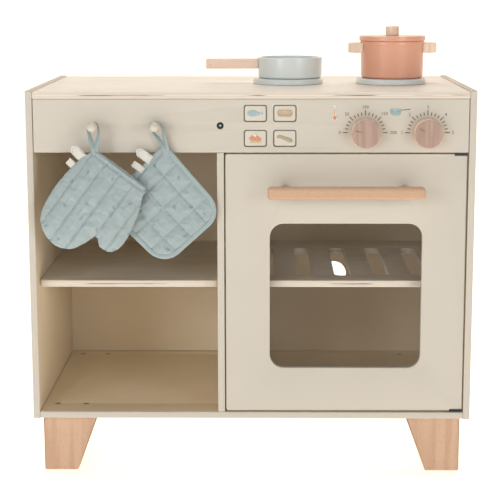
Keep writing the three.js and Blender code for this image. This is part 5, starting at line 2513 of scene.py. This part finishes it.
    def _puff(self, piece: bpy.types.Object, pinned: list[int]) -> None:
        """Blow the cloth up between its seams and let its spare width buckle."""
        group = piece.vertex_groups.new(name="thread")
        group.add(pinned, 1.0, "REPLACE")
        cloth = piece.modifiers.new("cloth", "CLOTH")
        settings = cloth.settings
        settings.quality = 6
        settings.mass = 0.3
        settings.bending_stiffness = 0.2
        settings.use_pressure = True
        settings.uniform_pressure_force = self.pressure
        settings.shrink_min = -self.growth
        settings.vertex_group_mass = group.name
        settings.effector_weights.gravity = 0.0
        cloth.collision_settings.use_collision = False
        cloth.point_cache.frame_start = 1
        cloth.point_cache.frame_end = self.frames + 1
        scene = bpy.context.scene
        for frame in range(1, self.frames + 1):
            scene.frame_set(frame)
        puffed = piece.evaluated_get(bpy.context.evaluated_depsgraph_get()).data
        moves = [new.co - old.co for new, old in zip(puffed.vertices, piece.data.vertices)]
        piece.modifiers.remove(cloth)
        longest = self.cap * MM
        for vertex, move in zip(piece.data.vertices, moves):
            vertex.co += move * min(1.0, longest / max(move.length, 1e-9))
        piece.vertex_groups.clear()
        scene.frame_set(1)
        log.info("%s puffed up, most moved %.1f mm", self.name, max(move.length for move in moves) / MM)

    def _pucker(self, mesh: bpy.types.Mesh) -> None:
        """Gather the cloth in short folds along its seams and its edge."""
        flat = mesh.uv_layers[0].data
        spot_of = {loop.vertex_index: flat[loop.index].uv for loop in mesh.loops}
        shifts = []
        for vertex in mesh.vertices:
            u, v = spot_of[vertex.index]
            side = 40.0 if u > 0.25 else 0.0
            spot = ((u - (0.4 if side else 0.0)) / MM, v / MM)
            seam = self._from_seam(spot)
            near = math.exp(-seam / 5.0) + 0.8 * math.exp(-self.from_edge(spot) / 6.0)
            fold = noise.noise(Vector((spot[0] * 0.07, spot[1] * 0.07, side)))
            crease = noise.noise(Vector((spot[0] * 0.13 + fold * 2, spot[1] * 0.08 - fold, side + 9)))
            groove = self.groove * math.exp(-((seam / 1.1) ** 2))
            shifts.append(
                vertex.normal * ((crease * self.folds * (0.35 + min(1.0, near)) + fold * 0.6 - groove) * MM)
            )
        flat_on = [abs(vertex.normal.y) > 0.3 for vertex in mesh.vertices]
        for vertex, shift, moves in zip(mesh.vertices, shifts, flat_on):
            if moves:
                vertex.co += shift

    def stitch_lines(
        self, mesh: bpy.types.Mesh, lines: Sequence[Sequence[Point]], lift: float = 0.12
    ) -> tuple[list[Vector], list[int]]:
        """Lay lines on the front and back of the finished pad.

        Args:
            mesh: The finished mesh.
            lines: Flat lines.
            lift: How far above the cloth they lie, in millimetres.

        Returns:
            The points, and the number of them in each run.
        """
        tree = BVHTree.FromPolygons(
            [vertex.co for vertex in mesh.vertices], [polygon.vertices for polygon in mesh.polygons]
        )
        points: list[Vector] = []
        runs: list[int] = []
        for sign in (-1, 1):
            for line in lines:
                run = []
                for spot in line:
                    x, z = self.place(*spot)
                    start = Vector((x, self.middle + sign * 60 * MM, z))
                    hit = tree.ray_cast(start, Vector((0, -sign, 0)))[0]
                    if hit is not None:
                        run.append(hit + Vector((0, sign * lift * MM, 0)))
                if len(run) > 2:
                    points += run
                    runs.append(len(run))
        return points, runs


@dataclass(frozen=True)
class Label:
    """A small woven label's sewn end, free end and width, in millimetres from the peg."""

    base: Point
    tip: Point
    width: float
    pointed: bool
    lean: float = 0.0


@dataclass
class SoftGoods:
    """The oven mitt and the pot holder, with their loops and labels."""

    frame: Frame
    finishes: Finishes
    repeats: Repeats
    mitt_corner: Point = (1.7, -30.3)
    mitt_turn: float = 36.87
    mitt_seams: tuple[float, ...] = (1.5, 24.0, 47.0, 69.0, 91.0)
    hem: float = 6.0
    cuff: float = 85.0
    holder_side: float = 115.0
    holder_corners: tuple[Point, ...] = ((12.1, -23.8), (91.7, -117.4), (8.7, -192.1), (-75.1, -108.2))
    holder_round: float = 27.0
    holder_cells: int = 4
    binding: float = 7.0
    tape: float = 7.0
    tape_thick: float = 0.9

    def build(self) -> None:
        """Make both, and all that is sewn to them."""
        self._mitt()
        self._holder()

    def _mitt(self) -> None:
        """The quilted mitt with its open cuff."""
        peg = self.frame.centre("mitt_peg")
        _, (y0, y1), _ = self.frame.spans("oven_mitt")
        turn = math.radians(self.mitt_turn)
        across = Vector((math.cos(turn), -math.sin(turn)))
        up = Vector((math.sin(turn), math.cos(turn)))
        corner = Vector((peg.x, peg.z)) + Vector(self.mitt_corner) * MM

        def place(u: float, v: float) -> Point:
            """Where a point of the flat mitt hangs."""
            spot = corner + across * (u * MM) + up * (v * MM)
            return (spot.x, spot.y)

        hand = smooth_open([
            (0, 0), (-4, -11), (-8, -22), (-12, -50), (-12.5, -80), (-6, -114), (12, -131), (33, -135.5),
            (52, -128.5), (63, -112), (68.5, -97), (71.5, -93.8), (75, -96), (82.5, -101.5), (96, -100),
            (105, -87), (105, -66),
            (98, -35), (90, -14), (self.cuff, 0),
        ])
        pocket = smooth_open([
            (self.cuff - 3, -0.6), (86, -20), (82, -46), (60, -58), (30, -58), (2, -46), (-1, -20),
            (3, -0.6)
        ])
        pad = QuiltedPad(
            "oven_mitt_quilted",
            outline=[(x, 0.0) for x in range(int(self.cuff), 0, -2)][1:] + hand,
            seams=[((u, -self.hem - 1.5), (u, -140.0)) for u in self.mitt_seams]
            + [((0.5, -self.hem), (self.cuff + 2.0, -self.hem))],
            place=place, middle=(y0 + y1) / 2, half=10.2, run=13.0, seam_part=0.66, mouth=True,
            pocket=pocket[1:-1],
        )
        mitt = pad.build()
        hem_lines = [
            [(0.5 + step * 1.0, -offset) for step in range(int(self.cuff))]
            for offset in (self.hem, self.hem - 1.8)
        ]
        lines = [pad.seam_points(seam, 1.2) for seam in pad.seams[:-1]] + hem_lines
        points, runs = pad.stitch_lines(mitt.data, lines)
        commit(dress(mitt, self.finishes.cotton), "mitt", "cotton", "oven_mitt")
        self._stitches("mitt_stitching", "mitt", points, runs)
        middle = (y0 + y1) / 2
        self._loop("mitt_hanging_loop", "mitt", "mitt_loop", peg, [
            (4.0, -38.0), (1.8, -31.0), (-0.6, -24.5), (-3.6, -15.5), (-6.0, -6.0), (-6.4, 0.5), (-3.6, 4.3),
            (1.2, 5.0), (5.6, 2.6), (7.6, -4.0), (7.2, -13.0), (5.0, -23.0), (4.2, -31.0), (4.4, -38.0),
        ], middle)
        self._labels("mitt_labels", "mitt", peg, middle, [
            Label((-13.0, -42.0), (-28.2, -26.0), 12.5, True, -1.5),
            Label((-22.0, -55.0), (-33.0, -44.6), 9.4, False, -1.0),
        ])

    def _holder(self) -> None:
        """The quilted pot holder with its bound edge."""
        peg = self.frame.centre("holder_peg")
        _, (y0, y1), _ = self.frame.spans("pot_holder")
        corners = [Vector((peg.x, peg.z)) + Vector(corner) * MM for corner in self.holder_corners]
        side = self.holder_side

        def place(u: float, v: float) -> Point:
            """Where a point of the flat square hangs; it is skewed a little as it hangs."""
            along, down = u / side, -v / side
            spot = (
                corners[0] * (1 - along) * (1 - down) + corners[1] * along * (1 - down)
                + corners[2] * along * down + corners[3] * (1 - along) * down
            )
            return (spot.x, spot.y)

        def square(inset: float) -> list[Point]:
            """The square's edge, moved inwards."""
            near, far, big = inset, side - inset, self.holder_round - inset * 0.6
            return fillet([(near, -near, 5.0), (far, -near, big), (far, -far, big), (near, -far, big)])

        pitch = side / self.holder_cells
        lines = [pitch * (index + 1) for index in range(self.holder_cells - 1)]
        seams = [((0, -line), (side, -line)) for line in lines]
        seams += [((line, 0), (line, -side)) for line in lines]
        pad = QuiltedPad(
            "pot_holder_quilted", outline=square(3.0), seams=seams, place=place, middle=(y0 + y1) / 2,
            half=3.6, run=4.0, seam_part=0.34, channel=9.0, cap=2.0, growth=0.018, pressure=5.0,
            groove=0.8, folds=0.8,
        )
        holder = pad.build()
        points, runs = pad.stitch_lines(holder.data, [pad.seam_points(seam, 1.2) for seam in seams])
        commit(dress(holder, self.finishes.cotton), "holder", "cotton", "pot_holder")
        self._stitches("holder_stitching", "holder", points, runs)
        self._binding(pad, square(self.binding / 2))
        middle = (y0 + y1) / 2
        self._loop("holder_hanging_loop", "holder", "holder_loop", peg, [
            (14.0, -42.0), (12.6, -34.0), (9.6, -27.6), (3.6, -18.0), (-3.4, -9.0), (-6.4, -1.0), (-4.2, 3.8),
            (1.0, 5.0), (5.8, 2.2), (8.6, -5.0), (11.4, -16.0), (14.0, -27.0), (14.6, -34.0), (15.0, -42.0),
        ], middle - 2.6 * MM)
        self._labels("holder_labels", "holder", peg, y0 - 0.5 * MM, [
            Label((-6.4, -46.6), (-26.0, -32.0), 12.0, True),
            Label((-16.4, -60.6), (-30.6, -50.2), 8.8, False),
        ])

    def _binding(self, pad: QuiltedPad, edge: Sequence[Point]) -> None:
        """Fold a tape over the pot holder's edge and sew it down.

        Args:
            pad: The pot holder's pad.
            edge: The tape's middle line.
        """
        route, sides = [], []
        spots = QuiltedPad.resampled(edge, 1.6)
        for index, spot in enumerate(spots):
            x, z = pad.place(*spot)
            wave = noise.noise(Vector((index * 0.21, 3.0, 0.0)))
            route.append(Vector((x, pad.middle + wave * 0.35 * MM, z)))
            sides.append(Vector((0, 1, 0)))
        wide, thick = self.binding / 2 + 0.1, 2.5
        section = [
            (
                thick * MM * math.copysign(abs(math.cos(a)) ** 0.7, math.cos(a)),
                wide * MM * math.copysign(abs(math.sin(a)) ** 0.7, math.sin(a))
            )
            for a in (FULL_TURN * step / 16 for step in range(16))
        ]
        band = sweep("pot_holder_binding", route, sides, section, closed=True)
        layer = band.data.uv_layers.new(name="flat")
        for loop in band.data.loops:
            spot = band.data.vertices[loop.vertex_index].co
            layer.data[loop.index].uv = (spot.x, spot.z)
        commit(dress(band, self.finishes.tape), "holder", "cotton")
        centre = (self.holder_side / 2, -self.holder_side / 2)
        shift = 1 - 2.3 / (self.holder_side / 2 - self.binding / 2)
        line = [
            (centre[0] + (x - centre[0]) * shift, centre[1] + (z - centre[1]) * shift)
            for x, z in QuiltedPad.resampled(edge, 1.2)
        ]
        points, runs = pad.stitch_lines(band.data, [line])
        self._stitches("binding_stitching", "holder", points, runs)

    def _stitches(self, name: str, body: str, points: list[Vector], runs: list[int]) -> None:
        """Sew along lines.

        Args:
            name: The piece's name.
            body: The body that it moves with.
            points: The lines' points.
            runs: How many points each line has.
        """
        thread = self.repeats.stitches.make(
            name, points, runs=runs, Pitch=3.0 * MM, Length=2.3 * MM, Thread=0.2 * MM,
            Material=self.finishes.thread,
        )
        commit(thread, body, "cotton")

    def _loop(
        self, name: str, body: str, node: str, peg: Vector, spots: Sequence[Point], base: float
    ) -> None:
        """Hang a tape loop over a peg; it lies flat where it is sewn in and turns edge-on over the peg.

        Args:
            name: The piece's name.
            body: The body that it moves with.
            node: The CAD node that it stands for.
            peg: The peg's centre.
            spots: The tape's route in millimetres from the peg's axis.
            base: The plane where it is sewn in.
        """
        _, (y0, y1), _ = self.frame.spans(node)
        over = (y0 + y1) / 2
        route: list[Vector] = []
        sides: list[Vector] = []
        count = len(spots)
        for index in range(count - 1):
            four = [spots[max(0, min(count - 1, index + shift))] for shift in (-1, 0, 1, 2)]
            for step in range(6):
                x, z = catmull(four, step / 6)
                part = (index + step / 6) / (count - 1)
                flat = abs(part * 2 - 1) ** 1.5
                hand = -1 if part < 0.5 else 1
                depth = over + (base - over) * min(1.0, max(0.0, (-z - 8) / 22)) + hand * 0.55 * MM * flat
                route.append(Vector((peg.x + x * MM, depth, peg.z + z * MM)))
                angle = math.pi / 2 * (0.12 + 0.80 * min(1.0, flat * 1.15))
                sides.append(Vector((hand * math.sin(angle), -math.cos(angle), 0)))
        sides = self._eased(sides)
        half, thin = self.tape / 2 * MM, self.tape_thick / 2 * MM
        section = [
            (
                half * math.cos(a) * (1.0 if abs(math.cos(a)) > 0.9 else 1.05),
                thin * math.copysign(abs(math.sin(a)) ** 0.5, math.sin(a))
            )
            for a in (FULL_TURN * step / 14 for step in range(14))
        ]
        band = sweep(name, route, sides, section)
        layer = band.data.uv_layers.new(name="flat")
        for loop in band.data.loops:
            spot = band.data.vertices[loop.vertex_index].co
            layer.data[loop.index].uv = (spot.x + spot.y, spot.z)
        commit(dress(band, self.finishes.tape), body, "cotton", node)

    @staticmethod
    def _eased(sides: Sequence[Vector], reach: int = 6) -> list[Vector]:
        """Even out the turning of a band."""
        count = len(sides)
        return [
            sum(
                (sides[max(0, min(count - 1, index + shift))] for shift in range(-reach, reach + 1)),
                Vector()
            ).normalized()
            for index in range(count)
        ]

    def _labels(self, name: str, body: str, peg: Vector, plane: float, labels: Sequence[Label]) -> None:
        """Sew in small woven labels.

        Args:
            name: The piece's name.
            body: The body that they move with.
            peg: The peg's centre.
            plane: The plane in which they lie.
            labels: The labels.
        """
        parts = []
        for index, label in enumerate(labels):
            base, tip = Vector(label.base), Vector(label.tip)
            along = tip - base
            length, half = along.length, label.width / 2
            along.normalize()
            across = Vector((-along.y, along.x))
            if label.pointed:
                tip = length - half * 0.9
                end = fillet([(tip, half, 1.5), (length, 0, 2.5), (tip, -half, 1.5)], closed=False)
            else:
                corners = [(0, half, 0), (length, half, 0.8), (length, -half, 0.8), (0, -half, 0)]
                end = fillet(corners, closed=False)[1:-1]
            shape = [(0, half), *end, (0, -half)]
            parts += self._woven(f"{name}_{index}", shape, base, along, across, peg, plane, label, length)
        commit(joined(name, parts), body, "cotton")

    def _woven(
        self, name: str, shape: Sequence[Point], base: Vector, along: Vector, across: Vector, peg: Vector,
        plane: float, label: Label, length: float,
    ) -> list[bpy.types.Object]:
        """Weave one label as a thin bent slip with a raised border.

        Args:
            name: Its name.
            shape: Its outline along and across itself.
            base: Where it is sewn in.
            along: Its direction.
            across: The direction of its width.
            peg: The peg's centre.
            plane: The plane in which it lies.
            label: Its sizes.
            length: Its length.

        Returns:
            The label and what is woven on it.
        """

        def bend(piece: bpy.types.Object) -> bpy.types.Object:
            """Move a flat piece to the label's place and curl its end."""
            for vertex in piece.data.vertices:
                u, v, w = vertex.co / MM
                curl = label.lean * (u / length) ** 2 + 0.35 * math.sin(u * 0.45 + v * 0.2)
                flat = base + along * u + across * v
                vertex.co = Vector((peg.x + flat.x * MM, plane + (curl + w) * MM, peg.z + flat.y * MM))
            layer = piece.data.uv_layers.new(name="flat")
            for loop in piece.data.loops:
                spot = piece.data.vertices[loop.vertex_index].co
                layer.data[loop.index].uv = (spot.x, spot.z)
            tidy(piece.data)
            return piece

        def flat_piece(title: str, outline: Sequence[Point], low: float, high: float) -> bpy.types.Object:
            """Cut a finely divided slip."""
            pad = QuiltedPad(
                title, outline=[tuple(spot) for spot in outline], seams=[], place=lambda x, y: (x, y),
                middle=0, half=1, run=1, spacing=1.4
            )
            loop = pad.resampled(pad.outline, 1.0)
            spots, faces, _, _ = pad.flatten(
                loop, lambda spot: pad.inside(spot) and pad.from_edge(spot) > 0.9, False
            )
            mesh = bpy.data.meshes.new(title)
            mesh.from_pydata([(x * MM, y * MM, high * MM) for x, y in spots], [], faces)
            piece = link(title, mesh)
            thick = piece.modifiers.new("thick", "SOLIDIFY")
            thick.thickness = (high - low) * MM
            thick.offset = -1
            return link(title, plain_mesh(piece, title))

        slip = dress(bend(flat_piece(name, shape, -0.25, 0.25)), self.finishes.label)
        border = [(x * 0.86 + 0.9, y * 0.8) for x, y in shape]
        inner = [(x * 0.80 + 1.3, y * 0.70) for x, y in shape]
        ring = self._ring(f"{name}_ring", border, inner)
        return [slip, dress(bend(ring), self.finishes.label_thread)]

    @staticmethod
    def _ring(name: str, outer: Sequence[Point], inner: Sequence[Point]) -> bpy.types.Object:
        """A thin raised border between two outlines with equally many points."""
        count = len(outer)
        points = [
            (x * MM, y * MM, level * MM)
            for level in (-0.34, -0.2) for loop in (outer, inner) for x, y in loop
        ]
        faces = []
        for index in range(count):
            after = (index + 1) % count
            a, b, c, d = index, after, count + after, count + index
            faces += [(a, b, c, d), (2 * count + d, 2 * count + c, 2 * count + b, 2 * count + a)]
            faces += [(b, a, 2 * count + a, 2 * count + b), (d, c, 2 * count + c, 2 * count + d)]
        mesh = bpy.data.meshes.new(name)
        mesh.from_pydata(points, [], faces)
        return link(name, mesh)


# ------------------------------------------------------------------ studio


@dataclass
class Studio:
    """The pale floor, the soft lights and the camera."""

    camera_place: tuple[float, float, float] = (0.0218, -1.9258, 0.6687)
    camera_turn: tuple[float, float, float] = (80.807, 0.086, 0.718)
    lens: float = 97.15
    drop: float = -0.09

    def build(self) -> None:
        """Set up the scene around the kitchen."""
        scene = bpy.context.scene
        scene.view_settings.view_transform = "Standard"
        self._camera(scene)
        self._floor()
        self._world(scene)
        self._light("left_light", (-1.8, -2.6, 0.85), 1.1, 24, (0.90, 0.96, 1.0))
        self._light("right_light", (1.8, -2.6, 0.85), 1.1, 19, (0.90, 0.96, 1.0))
        self._light("fill_light", (-0.5, -3.2, 1.35), 1.2, 14, (1.0, 0.97, 0.92))
        self._light("top_light", (0.0, 0.4, 3.0), 2.0, 40, (0.93, 0.97, 1.0))

    def _camera(self, scene: bpy.types.Scene) -> None:
        """Place the camera."""
        data = bpy.data.cameras.new("camera")
        data.lens = self.lens
        data.sensor_width = 36.0
        data.shift_y = self.drop
        data.clip_start, data.clip_end = 0.05, 60.0
        camera = bpy.data.objects.new("camera", data)
        camera.location = self.camera_place
        camera.rotation_euler = Euler([math.radians(angle) for angle in self.camera_turn])
        scene.collection.objects.link(camera)
        scene.camera = camera

    def _floor(self) -> None:
        """A pale floor that curves up behind into a backdrop."""
        width, front, rear, bend, height, steps = 14.0, -7.0, 4.5, 1.6, 7.0, 16
        section = [(front, 0.0)] + [
            (
                rear - bend + bend * math.sin(math.pi / 2 * step / steps),
                bend - bend * math.cos(math.pi / 2 * step / steps)
            )
            for step in range(steps + 1)
        ] + [(rear, height)]
        points = [(side * width, y, z) for y, z in section for side in (-1, 1)]
        faces = [
            (2 * index, 2 * index + 1, 2 * index + 3, 2 * index + 2) for index in range(len(section) - 1)
        ]
        mesh = bpy.data.meshes.new("studio_floor")
        mesh.from_pydata(points, [], faces)
        mesh.shade_smooth()
        floor = link("studio_floor", mesh)
        shader = Shader("studio_white")
        cloud = shader.noise(shader.place(), 0.8, 2.0)
        shader.set(
            Base_Color=shader.mix(cloud, (0.90, 0.90, 0.89, 1), (0.93, 0.93, 0.92, 1)), Roughness=0.9,
            Emission_Color=(1.0, 0.88, 0.76, 1.0), Emission_Strength=0.75,
        )
        dress(floor, shader.material)

    @staticmethod
    def _world(scene: bpy.types.Scene) -> None:
        """Even ambient light."""
        world = bpy.data.worlds.new("studio_air")
        world.use_nodes = True
        background = world.node_tree.nodes["Background"]
        background.inputs["Color"].default_value = (1.0, 0.74, 0.46, 1)
        background.inputs["Strength"].default_value = 0.17
        scene.world = world

    @staticmethod
    def _light(
        name: str, place: tuple[float, float, float], size: float, power: float, colour: tuple[float, ...]
    ) -> None:
        """Hang one softbox that faces the kitchen.

        Args:
            name: Its name.
            place: Where it hangs.
            size: Its width in metres.
            power: Its power in watts.
            colour: Its colour.
        """
        data = bpy.data.lights.new(name, "AREA")
        data.shape = "SQUARE"
        data.size = size
        data.energy = power
        data.color = colour[:3]
        light = bpy.data.objects.new(name, data)
        light.location = place
        aim = Vector((0, 0, 0.3)) - Vector(place)
        light.rotation_euler = aim.to_track_quat("-Z", "Y").to_euler()
        bpy.context.scene.collection.objects.link(light)


# ------------------------------------------------------------------ the kitchen


def main() -> None:
    """Dress the kitchen and set the scene."""
    logging.basicConfig(level=logging.INFO, format="%(name)s: %(message)s")
    frame = Frame(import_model())
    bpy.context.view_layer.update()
    Studio().build()
    finishes = Finishes()
    repeats = Repeats()
    Cabinet(frame, finishes, repeats).build()
    ControlPanel(frame, finishes, repeats).build()
    OvenDoor(frame, finishes, repeats).build()
    Cookware(frame, finishes).build()
    SoftGoods(frame, finishes, repeats).build()


if __name__ == "__main__":
    main()
